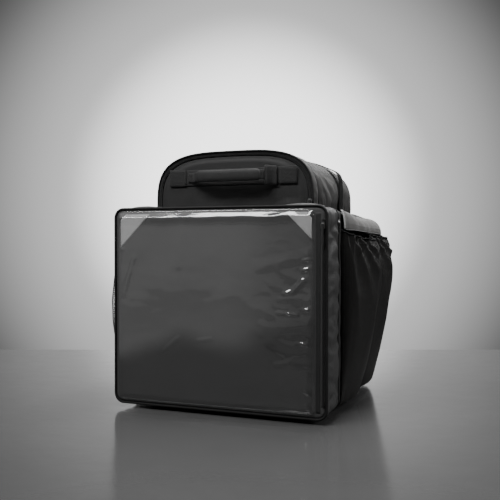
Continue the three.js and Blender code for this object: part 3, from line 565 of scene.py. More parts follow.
def tube(name, path, radius, material, facing=(0, 1, 0), closed=False, sides=10, spacing=4.0):
    """A cord along a path, closed to a ring if asked. facing is a way the path never takes. radius may
    be a function of the distance along it."""
    path = even(path, spacing, closed)
    if closed:
        ahead = np.roll(path, -1, axis=0) - np.roll(path, 1, axis=0)
        along = ahead / np.linalg.norm(ahead, axis=1, keepdims=True)
    else:
        along = directions(path)
    facing = np.broadcast_to(np.asarray(facing, float), path.shape)
    across = np.cross(along, facing)
    across /= np.linalg.norm(across, axis=1, keepdims=True)
    up = np.cross(across, along)
    size = [radius(i * spacing) if callable(radius) else radius for i in range(len(path))]
    angles = np.linspace(0, 2 * math.pi, sides, endpoint=False)
    rows = [
        [p + r * (math.cos(t) * c + math.sin(t) * w) for t in angles]
        for p, c, w, r in zip(path, across, up, size)
    ]
    if closed:
        rows.append(rows[0])
    piece = loft(name, rows, material, around=True, ends=not closed)
    if closed:
        join_doubles(piece)
        face_outwards(piece)
    return piece


def join_doubles(piece, distance=0.00001):
    shape = bmesh.new()
    shape.from_mesh(piece.data)
    bmesh.ops.remove_doubles(shape, verts=shape.verts, dist=distance)
    shape.to_mesh(piece.data)
    shape.free()


def join(name, pieces):
    """Several plain pieces made one, which keeps their materials."""
    shape, materials = bmesh.new(), []
    for piece in pieces:
        if piece.modifiers:
            apply_modifiers(piece)
        first = len(shape.faces)
        shape.from_mesh(piece.data)
        shape.faces.ensure_lookup_table()
        for face in shape.faces[first:]:
            material = piece.data.materials[face.material_index]
            if material not in materials:
                materials.append(material)
            face.material_index = materials.index(material)
        bpy.data.objects.remove(piece)
    mesh = bpy.data.meshes.new(name)
    shape.to_mesh(mesh)
    shape.free()
    for material in materials:
        mesh.materials.append(material)
    joined = bpy.data.objects.new(name, mesh)
    bpy.context.scene.collection.objects.link(joined)
    return joined


SETTLING_FRAMES, FURTHEST_MOVE = 20, 4.0


def settle(piece, held, slack, pressure, bend):
    """Cloth simulation of a sewn panel. held lists the points in its seams. The cloth is cut larger
    than its place by slack and filled out by pressure, and stays near the place that it began at."""
    start = np.array([v.co for v in piece.data.vertices])
    group = piece.vertex_groups.new(name="seams")
    group.add([int(i) for i in held], 1.0, "ADD")
    modifier = piece.modifiers.new("cloth", "CLOTH")
    settings = modifier.settings
    settings.quality = 6
    settings.vertex_group_mass = "seams"
    settings.use_pressure = True
    settings.uniform_pressure_force = pressure
    settings.shrink_min = -slack
    settings.bending_stiffness = bend
    settings.tension_stiffness = settings.compression_stiffness = 15
    settings.effector_weights.gravity = 0
    modifier.point_cache.frame_start = 1
    modifier.point_cache.frame_end = SETTLING_FRAMES
    for number in range(1, SETTLING_FRAMES + 1):
        bpy.context.scene.frame_set(number)
    apply_modifiers(piece)
    bpy.context.scene.frame_set(1)
    settled = np.array([v.co for v in piece.data.vertices])
    moved = settled - start
    far = np.linalg.norm(moved, axis=1, keepdims=True)
    moved *= np.minimum(1, FURTHEST_MOVE * MM / np.maximum(far, 1e-9))
    piece.data.vertices.foreach_set("co", (start + moved).ravel())
    piece.data.update()
    piece.vertex_groups.clear()
    return piece


def dress(piece, slot, *nodes):
    """Fixes a finished piece to the bag, for these solids."""
    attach(piece, "root")
    if nodes:
        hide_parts(*nodes)
    return piece


flat_sizes = {}


def sheet_of(piece, rows):
    """Declares a cloth by its flat size, measured along its rows and columns."""
    rows = np.asarray(rows, float) * MM
    across = np.linalg.norm(np.diff(rows, axis=1), axis=2).sum(1)
    along = np.linalg.norm(np.diff(rows, axis=0), axis=2).sum(0)
    width, length = float(across.max()), float(along.max())
    area = float(across.mean() * along.mean())
    flat_sizes[piece.name] = (round(width, 3), round(length, 3), round(area, 4))


def outward(points, middle):
    """The way out of an arch round middle, at each of its points."""
    out = points - np.asarray(middle, float)
    out[..., 1] = 0
    return out / np.linalg.norm(out, axis=-1, keepdims=True)


# Rows of stitches and zip teeth


def tree_named(name, result, **inputs):
    """A geometry nodes tree with these inputs and one result: the tree, its maker and a wire from
    each input."""
    tree = bpy.data.node_groups.new(name, "GeometryNodeTree")
    for label, kind in inputs.items():
        tree.interface.new_socket(label, in_out="INPUT", socket_type="NodeSocket" + kind)
    tree.interface.new_socket(result, in_out="OUTPUT", socket_type="NodeSocketGeometry")
    made = Finish(tree)
    given = tree.nodes.new("NodeGroupInput")
    return tree, made, {output.name: Wire(made, output) for output in given.outputs if output.name}


def run_tree(piece, tree, **wanted):
    """Runs a tree on a piece with these inputs, and keeps the plain mesh that it makes."""
    modifier = piece.modifiers.new(tree.name, "NODES")
    modifier.node_group = tree
    for item in tree.interface.items_tree:
        if item.in_out == "INPUT" and item.name in wanted:
            modifier[item.identifier] = wanted[item.name]
    return apply_modifiers(piece)


def row_of_shapes():
    """A small shape repeated along the edges of a mesh, which carry the way out of the cloth as the
    attribute out."""
    tree, made, wires = tree_named(
        "row_of_shapes",
        "Row",
        Path="Geometry",
        Pitch="Float",
        Size="Vector",
        Block="Bool",
        Material="Material",
    )
    line = made.node("GeometryNodeMeshToCurve", {"Mesh": wires["Path"]})
    spaced = made.node(
        "GeometryNodeResampleCurve", {"Curve": line, "Length": wires["Pitch"]}, mode="LENGTH"
    )
    out = made.node("GeometryNodeInputNamedAttribute", {"Name": "out"}, data_type="FLOAT_VECTOR")
    turned = made.node(
        "FunctionNodeAxesToRotation",
        {"Primary Axis": made.node("GeometryNodeInputTangent"), "Secondary Axis": out},
        primary_axis="X",
        secondary_axis="Z",
    )
    bead = made.node("GeometryNodeMeshUVSphere", {"Segments": 6, "Rings": 4, "Radius": 0.5})
    block = made.node("GeometryNodeMeshCube", {"Size": (1, 1, 1)})
    shape = made.node(
        "GeometryNodeSwitch",
        {"Switch": wires["Block"], "False": bead, "True": block},
        input_type="GEOMETRY",
    )
    many = made.node(
        "GeometryNodeInstanceOnPoints",
        {"Points": spaced, "Instance": shape, "Rotation": turned, "Scale": wires["Size"]},
    )
    real = made.node("GeometryNodeRealizeInstances", {"Geometry": many})
    painted = made.node("GeometryNodeSetMaterial", {"Geometry": real, "Material": wires["Material"]})
    made.node("NodeGroupOutput", {"Row": painted})
    return tree


ROW = row_of_shapes()


def repeat(name, paths, pitch, size, material, block=False):
    """A row of beads, or of blocks, along each path. A path is a pair: its points, and the way out
    of the cloth at each of them."""
    places, outs, edges = [], [], []
    for points, out in paths:
        points = np.asarray(points, float)
        first = len(places)
        places += (points * MM + BAG).tolist()
        outs += np.broadcast_to(np.asarray(out, float), points.shape).tolist()
        edges += [(first + i, first + i + 1) for i in range(len(points) - 1)]
    mesh = bpy.data.meshes.new(name)
    mesh.from_pydata(places, edges, [])
    layer = mesh.attributes.new("out", "FLOAT_VECTOR", "POINT")
    layer.data.foreach_set("vector", np.asarray(outs, np.float32).ravel())
    piece = bpy.data.objects.new(name, mesh)
    bpy.context.scene.collection.objects.link(piece)
    size = [side * MM for side in size]
    run_tree(piece, ROW, Pitch=pitch * MM, Size=size, Block=block, Material=material)
    if block:
        piece.data.shade_flat()
    else:
        piece.data.shade_smooth()
    return piece


STITCH = {"pitch": 3.4, "length": 2.5, "width": 0.7, "height": 0.56}


def stitches(name, paths, material=THREAD):
    size = (STITCH["length"], STITCH["width"], STITCH["height"])
    return repeat(name, paths, STITCH["pitch"], size, material)


def zip_teeth(name, points, out, pitch=2.4, width=2.4, height=1.5):
    """Two facing rows of teeth along a path, set half a pitch apart. out is the way out of the
    cloth, one for the whole path or one at each of its points."""
    points = even(points, 1.2)
    out = np.broadcast_to(np.asarray(out, float), points.shape)
    along = directions(points)
    across = np.cross(along, out)
    size = (pitch * 0.62, width, height)
    rows = []
    for label, side in (("_a", -1), ("_b", 1)):
        moved = points + side * across * width * 0.32 + along * pitch * 0.25 * side
        rows.append(repeat(name + label, [(moved, out)], pitch, size, ZIP_TEETH, block=True))
    return join(name, rows)


# The padded box


RIGHT, TOP, LEFT, BASE, CORNER = 0, 1, 2, 3, -1


def upright(side):
    return (side == RIGHT) | (side == LEFT)


def base_sag(x, y):
    """How far the base hangs below its edges."""
    return (
        BASE_DROP
        * smooth(0.5 - np.abs(x) / BOX_WIDTH, 0, SIDE_RISE)
        * smooth(y / BOX_DEPTH, 0, FRONT_RISE)
        * smooth(1 - y / BOX_DEPTH, 0, REAR_RISE)
    )


def top_sag(x, y, z):
    """How far the top sinks beside the hood."""
    beside = smooth(np.abs(x), HOOD_WIDTH / 2, BOX_WIDTH / 2 - EDGE_RADIUS / 2)
    behind = smooth((y - SHELL_FRONT) / (BOX_DEPTH - SHELL_FRONT), 0.02, 0.4)
    high = smooth(z, BOX_TOP - 3 * EDGE_RADIUS, BOX_TOP - EDGE_RADIUS)
    return SHOULDER_SAG * beside * behind * high


def seam_wander(side, share, y):
    """How far the door's seam strays from straight on the upright sides, where it has been pulled."""
    near = math.exp(-(((y - (COVER_DEPTH + SHELL_FRONT) / 2) / 26) ** 2))
    stray = 3.6 * np.sin(share * 11 + 0.4) + 1.8 * np.sin(share * 27 + 1.0)
    return near * stray * hump(share) ** 0.5 * upright(side)


UPRIGHT_STEPS, LEVEL_STEPS, CORNER_STEPS = 70, 78, 7


def box_ring(y, inset, swell=None):
    """Points round the box's rounded section, inset from its sides and moved out by swell, which
    is given each point's side and its share up or along that side."""
    radius = max(EDGE_RADIUS - inset, 2)
    xz, out, side, share = [], [], [], []
    for number, (x, z) in enumerate(((1, 0), (0, 1), (-1, 0), (0, -1))):
        reach = (BOX_WIDTH if x else BOX_HEIGHT) / 2 - inset
        half = (BOX_HEIGHT if x else BOX_WIDTH) / 2 - inset - radius
        count = UPRIGHT_STEPS if x else LEVEL_STEPS
        for k in range(count + 1):
            run = half * (2 * k / count - 1)
            xz.append((x * reach - z * run, z * reach + x * run))
            out.append((x, z))
            side.append(number)
            share.append(k / count if x > 0 or z > 0 else 1 - k / count)
        middle = (x * (reach - radius) - z * half, z * (reach - radius) + x * half)
        for k in range(1, CORNER_STEPS):
            turn = k / CORNER_STEPS * math.pi / 2
            way = (x * math.cos(turn) - z * math.sin(turn), z * math.cos(turn) + x * math.sin(turn))
            xz.append((middle[0] + way[0] * radius, middle[1] + way[1] * radius))
            out.append(way)
            side.append(CORNER)
            share.append(0)
    xz, out, side, share = map(np.array, (xz, out, side, share))
    if swell:
        xz = xz + out * swell(side, share, y, xz)[:, None]
    z = BASE_DROP + BOX_HEIGHT / 2 + xz[:, 1]
    z = z - np.where(side == BASE, base_sag(xz[:, 0], y), top_sag(xz[:, 0], y, z))
    return np.stack([xz[:, 0], y + seam_wander(side, share, y), z], axis=1)


GUSSET_FOLDS = [
    {"height": 0.955, "depth": 1.0, "spread": 7},
    {"height": 0.905, "depth": 0.9, "spread": 6},
    {"height": 0.855, "depth": 1.1, "spread": 8},
    {"height": 0.79, "depth": 0.7, "spread": 9},
    {"height": 0.70, "depth": 0.35, "spread": 12},
    {"height": 0.56, "depth": 0.5, "spread": 14},
    {"height": 0.34, "depth": 0.5, "spread": 14},
    {"height": 0.12, "depth": 0.9, "spread": 10},
    {"height": 0.05, "depth": 0.7, "spread": 7},
]
FOLD_DEPTH, GUSSET_SWELL = 5.4, 5.0
# How far inside the box's section the rings lie that close a flat end
END_INSETS = (14, 40, 100, 180, 205)


def gusset_swell(side, share, y, xz):
    """How far the cover's gusset stands out: puffed between its seams, and drawn in at its folds."""
    arch = math.sin(math.pi * max(0, (y - PIPING_SEAT) / (COVER_DEPTH - PIPING_SEAT)))
    crown = GUSSET_SWELL * np.sqrt(hump(share))
    fold = np.zeros(len(share))
    for row in GUSSET_FOLDS:
        slant = 5 * math.sin(row["height"] * 40 + y * 0.035)
        away = ((share - row["height"]) * (BOX_HEIGHT - 2 * EDGE_RADIUS) + slant) / row["spread"]
        fold += row["depth"] * FOLD_DEPTH * np.exp(-away * away)
    return arch * np.where(upright(side), crown - fold, np.where(side == TOP, crown, 0))


def make_cover():
    """The door: its gusset, sewn between the piping and the zip, and its front panel."""
    band = np.linspace(COVER_DEPTH, PIPING_SEAT, 20)
    rings = [box_ring(COVER_DEPTH, 4.0), box_ring(COVER_DEPTH, 1.2)]
    first, last = len(rings), len(rings) + len(band) - 1
    rings += [box_ring(y, 0, gusset_swell) for y in band]
    rings += [box_ring(y, inset) for y, inset in ((4.5, 2.2), (2, 4.2), (0.4, 6), (0.1, 9))]
    rings += [box_ring(0, inset) for inset in END_INSETS]
    piece = face_along(close_end(loft("cover", rings, COVER_CLOTH, around=True), rings), -1)
    width = len(rings[0])
    loose = range((first + 1) * width, last * width)
    held = [v.index for v in piece.data.vertices if v.index not in loose]
    settle(piece, held, slack=0.035, pressure=0.6, bend=0.02)
    rounded(thicken(piece, 3.0))
    dress(piece, "black_cloth", "front_cover")


def close_end(piece, rings):
    """Closes the last ring of a loft."""
    width = len(rings[0])
    shape = bmesh.new()
    shape.from_mesh(piece.data)
    shape.verts.ensure_lookup_table()
    for face in closing_faces(width):
        shape.faces.new([shape.verts[(len(rings) - 1) * width + j] for j in face])
    bmesh.ops.recalc_face_normals(shape, faces=shape.faces)
    shape.to_mesh(piece.data)
    shape.free()
    piece.data.shade_smooth()
    return piece


def side_crown(side, share, y, xz):
    """How far the box's panels stand out: crowned between their seams, less their puckers."""
    back = hump((y - SHELL_FRONT) / (BOX_DEPTH - SHELL_FRONT))
    crown = np.where(upright(side), SIDE_CROWN * hump(share) * back, 0)
    points = np.stack([xz[:, 0], np.full(len(share), y), xz[:, 1]], axis=1)
    puckers = crests(points * np.array([1, 0.5, 1.3]), 60, 3.0)
    soft = 0.5 + 0.5 * cloudy(points, 90, 7.0)
    ends = smooth(y, SHELL_FRONT, SHELL_FRONT + 25) * smooth(BOX_DEPTH - y, 0, 25)
    return crown - ends * (1.6 * puckers + 1.4 * soft) * (side != BASE)


def make_shell():
    """The insulated box behind the door."""
    rings = [box_ring(SHELL_FRONT, inset) for inset in (WALL, 4, 1.2)]
    rings += [box_ring(y, 0, side_crown) for y in np.linspace(SHELL_FRONT, BOX_DEPTH - REAR_RADIUS, 46)]
    for turn in np.radians((25, 50, 75, 90)):
        y = BOX_DEPTH - REAR_RADIUS + REAR_RADIUS * math.sin(turn)
        rings.append(box_ring(y, REAR_RADIUS * (1 - math.cos(turn))))
    rings += [box_ring(BOX_DEPTH, inset) for inset in END_INSETS]
    piece = face_along(close_end(loft("shell", rings, BLACK_CLOTH, around=True), rings), 1)
    thicken(piece, 3.0)
    dress(piece, "black_cloth", "main_shell")


def make_door_zip():
    front, rear = COVER_DEPTH + GAP, SHELL_FRONT - GAP
    middle = (front + rear) / 2
    section = [(front, 2.2), (front + 2, 2), (middle - 1.4, 1.9), (middle, 2.1), (middle + 1.4, 1.9)]
    section += [(rear - 2, 2), (rear, 2.2), (rear, 4.5), (middle, 4.7), (front, 4.5)]
    rings = [box_ring(y, inset) for y, inset in section]
    rings.append(rings[0])
    piece = loft("door_zip_tape", rings, ZIP_TAPE, around=True)
    join_doubles(piece)
    face_outwards(piece)
    dress(piece, "zip_tape", "door_zip")
    ring, inner = box_ring(middle, 1.5), box_ring(middle, 9)
    ring, inner = (np.vstack([line, line[:1]]) for line in (ring, inner))
    out = (ring - inner) / np.linalg.norm(ring - inner, axis=1, keepdims=True)
    path = even(ring, 1.2)
    old, new = np.linspace(0, 1, len(out)), np.linspace(0, 1, len(path))
    out = np.stack([np.interp(new, old, column) for column in out.T], axis=1)
    dress(zip_teeth("door_zip_teeth", path, out), "zip_tape", "door_zip")


def make_piping():
    """The cord sits in the corner between the front face and the gusset."""
    away = (PIPING_RADIUS + GAP) / math.hypot(6, 7)
    path = box_ring(3.5 - away * 6, 3 - away * 7)
    piece = tube("face_piping", path, PIPING_RADIUS, PIPING, closed=True, sides=12)
    dress(piece, "piping", "front_piping")


# The front face

# Creases of the vinyl: ends in shares of its width and height, how far each stands out in
# millimetres, and how wide it is
CREASES = [
    {"x0": 0.950, "z0": 0.752, "x1": 0.990, "z1": 0.758, "out": 3.8, "width": 6.5},
    {"x0": 0.945, "z0": 0.704, "x1": 0.990, "z1": 0.712, "out": 3.8, "width": 6.5},
    {"x0": 0.860, "z0": 0.590, "x1": 0.900, "z1": 0.602, "out": 3.5, "width": 6.0},
    {"x0": 0.895, "z0": 0.595, "x1": 0.950, "z1": 0.655, "out": 4.7, "width": 8.0},
    {"x0": 0.950, "z0": 0.510, "x1": 0.990, "z1": 0.518, "out": 3.8, "width": 6.5},
    {"x0": 0.830, "z0": 0.495, "x1": 0.920, "z1": 0.488, "out": 2.9, "width": 5.0},
    {"x0": 0.840, "z0": 0.560, "x1": 0.940, "z1": 0.572, "out": 1.6, "width": 7.0},
    {"x0": 0.920, "z0": 0.350, "x1": 0.965, "z1": 0.345, "out": 2.9, "width": 5.0},
    {"x0": 0.820, "z0": 0.240, "x1": 0.880, "z1": 0.255, "out": 1.8, "width": 7.0},
    {"x0": 0.955, "z0": 0.120, "x1": 0.990, "z1": 0.100, "out": 2.9, "width": 5.0},
    {"x0": 0.960, "z0": 0.050, "x1": 0.990, "z1": 0.030, "out": 2.9, "width": 5.0},
    {"x0": 0.005, "z0": 0.815, "x1": 0.025, "z1": 0.800, "out": 2.9, "width": 5.0},
    {"x0": 0.090, "z0": 0.760, "x1": 0.030, "z1": 0.560, "out": 1.6, "width": 8.0},
    {"x0": 0.250, "z0": 0.270, "x1": 0.330, "z1": 0.345, "out": 1.6, "width": 8.0},
    {"x0": 0.430, "z0": 0.335, "x1": 0.500, "z1": 0.350, "out": 1.2, "width": 7.0},
    {"x0": 0.370, "z0": 0.980, "x1": 0.330, "z1": 0.720, "out": 1.0, "width": 14.0},
    {"x0": 0.740, "z0": 0.720, "x1": 0.990, "z1": 0.780, "out": 1.4, "width": 16.0},
    {"x0": 0.760, "z0": 0.420, "x1": 0.990, "z1": 0.440, "out": 1.4, "width": 18.0},
]


def creases_at(x, z, width, height):
    out = np.zeros(np.broadcast(x, z).shape)
    for row in CREASES:
        run = np.array([(row["x1"] - row["x0"]) * width, (row["z1"] - row["z0"]) * height])
        dx, dz = x - row["x0"] * width, z - row["z0"] * height
        near = np.clip((dx * run[0] + dz * run[1]) / (run @ run), 0, 1)
        away = np.hypot(dx - near * run[0], dz - near * run[1]) / row["width"]
        out = np.maximum(out, row["out"] * np.maximum(0, 1 - away) * (1 - 0.3 * np.abs(2 * near - 1)))
    return out


RIDGE = {"below_top": 13, "fall": 10, "height": 0.42}
WINDOW_CORNER = 14


def drawn_in(x, z, width, height):
    """The same places with the panel's four corners rounded."""
    half = np.array([width / 2, height / 2])
    past = [np.abs(value - side) - (side - WINDOW_CORNER) for value, side in zip((x, z), half)]
    far = np.hypot(np.maximum(past[0], 0), np.maximum(past[1], 0))
    beyond = (past[0] > 0) & (past[1] > 0) & (far > WINDOW_CORNER)
    pull = np.where(beyond, WINDOW_CORNER / np.maximum(far, 1e-6), 1)
    return [
        np.where(pull < 1, side + np.sign(value - side) * (side - WINDOW_CORNER + over * pull), value)
        for value, side, over in zip((x, z), half, past)
    ]


def window_rows():
    """The vinyl, sewn flat at its edges and standing in a long ridge below its top seam."""
    width, height = WINDOW_RIGHT - WINDOW_LEFT, WINDOW_TOP - WINDOW_LOW
    columns = np.concatenate([np.linspace(0, 0.66, 84)[:-1], np.linspace(0.66, 1, 96)]) * width
    rows = np.concatenate([np.linspace(0, 0.9, 186)[:-1], np.linspace(0.9, 1, 46)]) * height
    x, z = np.meshgrid(columns, rows)
    flat = np.stack([x, z * 0, z], axis=2)
    along = flat * np.array([1, 0, 0])
    edge = np.minimum(np.minimum(x, width - x), np.minimum(z, height - z))
    crest = RIDGE["below_top"] + 3.5 * cloudy(along, 45, 2.0) + 1.5 * cloudy(along, 13, 5.0)
    past = height - z - crest
    ridge = np.where(past < 0, (height - z) / crest, np.exp(-((past / RIDGE["fall"]) ** 2)))
    ridge = ridge * crest * RIDGE["height"] * smooth(x, 0, 8) * smooth(width - x, 0, 8)
    swag = 1.2 * np.exp(-(((z - 9) / 8) ** 2)) * smooth(x / width, 0.25, 0.5)
    billow = 1.3 * cloudy(flat, 170, 1.0) + 0.3 * cloudy(flat, 60, 4.0)
    crumple = 0.9 * crests(flat * np.array([1, 1, 1.6]), 55, 9.0) + 0.3 * crests(flat, 19, 11.0)
    relief = 1.6 + billow + crumple * smooth(x / width, 0.62, 0.95) + swag
    out = 2.6 + smooth(edge, 0, 16) * (relief + creases_at(x, z, width, height)) + ridge
    y = -np.where(edge < 0.01, 0.4, smooth(edge, 0, 4) * np.maximum(out, 2.4) + 0.4)
    x, z = drawn_in(x, z, width, height)
    return np.stack([WINDOW_LEFT + x, y, WINDOW_LOW + z], axis=2)


def make_window():
    rows = window_rows()
    piece = face_along(loft("vinyl_window", rows, VINYL), -1)
    dress(piece, "clear_vinyl", "window")
    sheet_of(piece, rows)
    inset = 3
    x, z = (WINDOW_LEFT + WINDOW_RIGHT) / 2, (WINDOW_LOW + WINDOW_TOP) / 2
    half_x, half_z = (WINDOW_RIGHT - WINDOW_LEFT) / 2 - inset, (WINDOW_TOP - WINDOW_LOW) / 2 - inset
    corners = [(-1, 0), (-1, 0.96), (-0.97, 1), (0.97, 1), (1, 0.96)]
    corners += [(-a, -b) for a, b in corners] + corners[:1]
    loop = [(x + a * half_x, -2.4, z + b * half_z) for a, b in corners]
    dress(stitches("window_seam", [(even(loop, 5), (0, -1, 0))], GREY_THREAD), "black_cloth")


def make_tab(name, hand, leg, corner_x):
    """A light grey corner patch, its corner cut off, under the vinyl."""
    top, cut, lift = WINDOW_TOP - 6, 12, 1.7
    shares = np.linspace(0, 1, 15)
    rows = []
    for share in shares:
        upright_edge = np.array([0, -cut - (leg - cut) * share])
        level_edge = np.array([cut + (leg - cut) * share, 0])
        rows.append([upright_edge * (1 - t) + level_edge * t for t in shares])
    rows = np.array(rows)
    wave = 0.25 * cloudy(np.dstack([rows, rows[..., :1] * 0]), 25, hand * 3.0)
    points = np.stack([corner_x - hand * rows[..., 0], -lift - wave, top + rows[..., 1]], axis=2)
    return thicken(face_along(loft(name, points, TAB), -1), 0.5)


def make_face():
    for name, hand, leg, x in (
        ("corner_tab_left", -1, 71, WINDOW_LEFT + 6),
        ("corner_tab_right", 1, 54, WINDOW_RIGHT - 6),
    ):
        dress(make_tab(name + "_patch", hand, leg, x), "grey_tab", name)
    left, right, low, high = (STRIP[key] for key in ("left", "right", "low", "high"))
    path = [((left + right) / 2, -GAP, z) for z in np.linspace(low, high, 60)]
    strip = ribbon("sleeve_strip", path, (-1, 0, 0), right - left, STRIP["thickness"], STRIP_CLOTH)
    dress(strip, "black_cloth", "window_strip")
    seams = [([(x, -2.1, low + 2), (x, -2.1, high - 2)], (0, -1, 0)) for x in (left + 1.6, right - 1.6)]
    dress(stitches("strip_seams", seams, GREY_THREAD), "black_cloth")


def make_sleeve_zip():
    low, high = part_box("sleeve_zip")
    x = ((low.x + high.x) / 2 - BAG[0]) / MM
    bottom, top = low.z / MM, high.z / MM
    path = [(x, -GAP, z) for z in np.linspace(bottom, top, 80)]
    tape = ribbon("sleeve_zip_tape", path, (-1, 0, 0), 8, 1.1, ZIP_TAPE)
    dress(tape, "zip_tape", "sleeve_zip")
    line = [(x, -1.7, bottom + 2), (x, -1.7, top - 2)]
    teeth = zip_teeth("sleeve_zip_teeth", line, (0, -1, 0), 2.2, 2.0, 1.2)
    dress(teeth, "zip_tape", "sleeve_zip")


# The hood


def arch_point(angle, width, height):
    """A place on a squarish arch, at an angle from its right foot."""
    power = 2 / ARCH_POWER
    across = np.sign(np.cos(angle)) * np.abs(np.cos(angle)) ** power
    return width / 2 * across, height * np.maximum(0, np.sin(angle)) ** power


def arch(width, height, y, count=90, low=0.0):
    """An arch from its right foot over the top to its left foot, its points evenly spaced."""
    x, z = arch_point(np.linspace(0, math.pi, 400), width, height)
    along = np.concatenate([[0], np.hypot(np.diff(x), np.diff(z)).cumsum()])
    wanted = np.linspace(0, along[-1], count + 1)
    x, z = np.interp(wanted, along, x), np.interp(wanted, along, z)
    z[0] = z[-1] = 0
    return np.stack([x, np.full(count + 1, float(y)), HOOD_FLOOR + np.maximum(z, low)], axis=1)


# Sections of the hood: their place and their size as shares of its own
HOOD_SECTIONS = [
    {"along": 0, "width": 1, "height": 1},
    {"along": 0.06, "width": 1.005, "height": 1},
    {"along": 0.135, "width": 0.985, "height": 0.98},
    {"along": 0.2, "width": 1, "height": 0.99},
    {"along": 0.42, "width": 0.99, "height": 0.965},
    {"along": 0.62, "width": 1.01, "height": 0.99},
    {"along": 0.71, "width": 1.02, "height": 0.985},
    {"along": 0.88, "width": 1.02, "height": 0.96},
    {"along": 0.97, "width": 1.01, "height": 0.935},
    {"along": 1, "width": 0.97, "height": 0.9},
]


def read(table, key, value, wanted):
    """The wanted column of a table, read off between the rows where key is value."""
    return float(np.interp(value, [row[key] for row in table], [row[wanted] for row in table]))


HOOD_SEAM = 0.135
MIDDLE = np.array([0, 0, HOOD_FLOOR])


def hood_rows():
    rows = []
    for share in np.concatenate([np.linspace(0, 0.97, 60), [0.98, 0.99, 1.0]]):
        width = HOOD_WIDTH * read(HOOD_SECTIONS, "along", share, "width")
        height = HOOD_HEIGHT * read(HOOD_SECTIONS, "along", share, "height")
        rows.append(arch(width, height, HOOD_FRONT + share * HOOD_LENGTH))
    rows = np.array(rows)
    y, z = rows[..., 1], rows[..., 2]
    ends = smooth(y, HOOD_FRONT, HOOD_FRONT + 20) * smooth(z, HOOD_FLOOR, HOOD_FLOOR + 12)
    slanted = crests(rows * np.array([1, 0.8, 0.5]) + z[..., None] * np.array([0, 0.35, 0]), 85, 2.0)
    soft = cloudy(rows, 70, 5.0)
    seam = np.exp(-(((y - HOOD_FRONT - HOOD_SEAM * HOOD_LENGTH) / 3) ** 2))
    move = -ends * (0.5 * slanted**2 + 1.6 * np.abs(soft) + 2.0 * seam)
    return rows + outward(rows, MIDDLE) * move[..., None]


def make_hood():
    """The hood's cloth, held along its front seam, under the over-strap and at its edges."""
    rows = hood_rows()
    piece = turn_out(loft("hood", rows, SIDE_CLOTH), MIDDLE)
    count, width = rows.shape[:2]
    front_seam, under_strap = 8, range(37, 45)
    held = [i * width + j for i in (0, count - 1, front_seam, *under_strap) for j in range(width)]
    held += [i * width + j for i in range(count) for j in (0, width - 1)]
    settle(piece, held, slack=0.02, pressure=0.5, bend=0.03)
    thicken(rounded(piece), 4.0)
    dress(piece, "side_cloth", "hood_shell")
    make_hood_back(rows[-1])
    make_hood_seams(rows)


def make_hood_back(edge):
    """The hood's rear panel: its edge row drawn in to the middle of its foot."""
    rows = []
    for share in (1.0, 0.75, 0.5, 0.25, 0.02):
        row = MIDDLE + (edge - MIDDLE) * (share, 1, share)
        row[:, 1] = edge[0, 1] - 0.6 + 1.5 * math.sin(math.pi * share)
        rows.append(row)
    back = face_along(loft("hood_back_panel", rows, SIDE_CLOTH), 1)
    thicken(rounded(back), 2.5)
    dress(back, "side_cloth", "hood_shell")


def make_hood_seams(rows):
    paths = []
    for share, offset in ((HOOD_SEAM, -3), (HOOD_SEAM, 3), (0.985, -4)):
        y = HOOD_FRONT + share * HOOD_LENGTH + offset
        line = rows[int(np.argmin(np.abs(rows[:, 0, 1] - y)))]
        out = outward(line, MIDDLE)
        paths.append((line + out * 0.4, out))
    dress(stitches("hood_seams", paths), "side_cloth")
    line, out = paths[0]
    seam = tube("hood_seam_piping", line + out * 0.8 + np.array([0, 3, 0]), 1.5, PIPING, sides=8)
    dress(seam, "piping", "hood_shell")


HOOD_FRONT_INSET = 11.4


def make_hood_front():
    """The crowned front panel and its seam."""
    width, height = HOOD_WIDTH - 2 * HOOD_FRONT_INSET, HOOD_HEIGHT - HOOD_FRONT_INSET
    shares = np.concatenate([[1.0, 1.0], np.linspace(0.985, 0.02, 44)])
    rows = []
    for share in shares:
        outline = arch(width * share, height * share, 0, 110)
        floor = np.linspace(outline[-1], outline[0], 40)[1:-1]
        rows.append(np.vstack([outline, floor]))
    rows = np.array(rows)
    inwards = 1 - shares[:, None]
    flat = rows * np.array([1, 0, 1])
    dent = 1.3 * crests(flat * np.array([1, 1, 2.2]), 95, 6.0) + 0.8 * np.abs(cloudy(flat, 40, 8.0))
    low = smooth(rows[..., 2], HOOD_FLOOR + 50, HOOD_FLOOR + 10)
    dent = smooth(inwards, 0.02, 0.2) * dent * (0.35 + 0.65 * low)
    rows[..., 1] = HOOD_FRONT - 5 * smooth(inwards, 0.0, 0.11) + dent
    rows[0, :, 1] = HOOD_FRONT + 4
    piece = loft("hood_front_panel", rows, PANEL_CLOTH, around=True, ends=True)
    dress(piece, "black_cloth", "hood_front")
    border = arch(width * 0.965, height * 0.965, HOOD_FRONT - 1.9, 110)
    dress(stitches("hood_front_seam", [(border[2:-2], (0, -1, 0))], GREY_THREAD), "black_cloth")


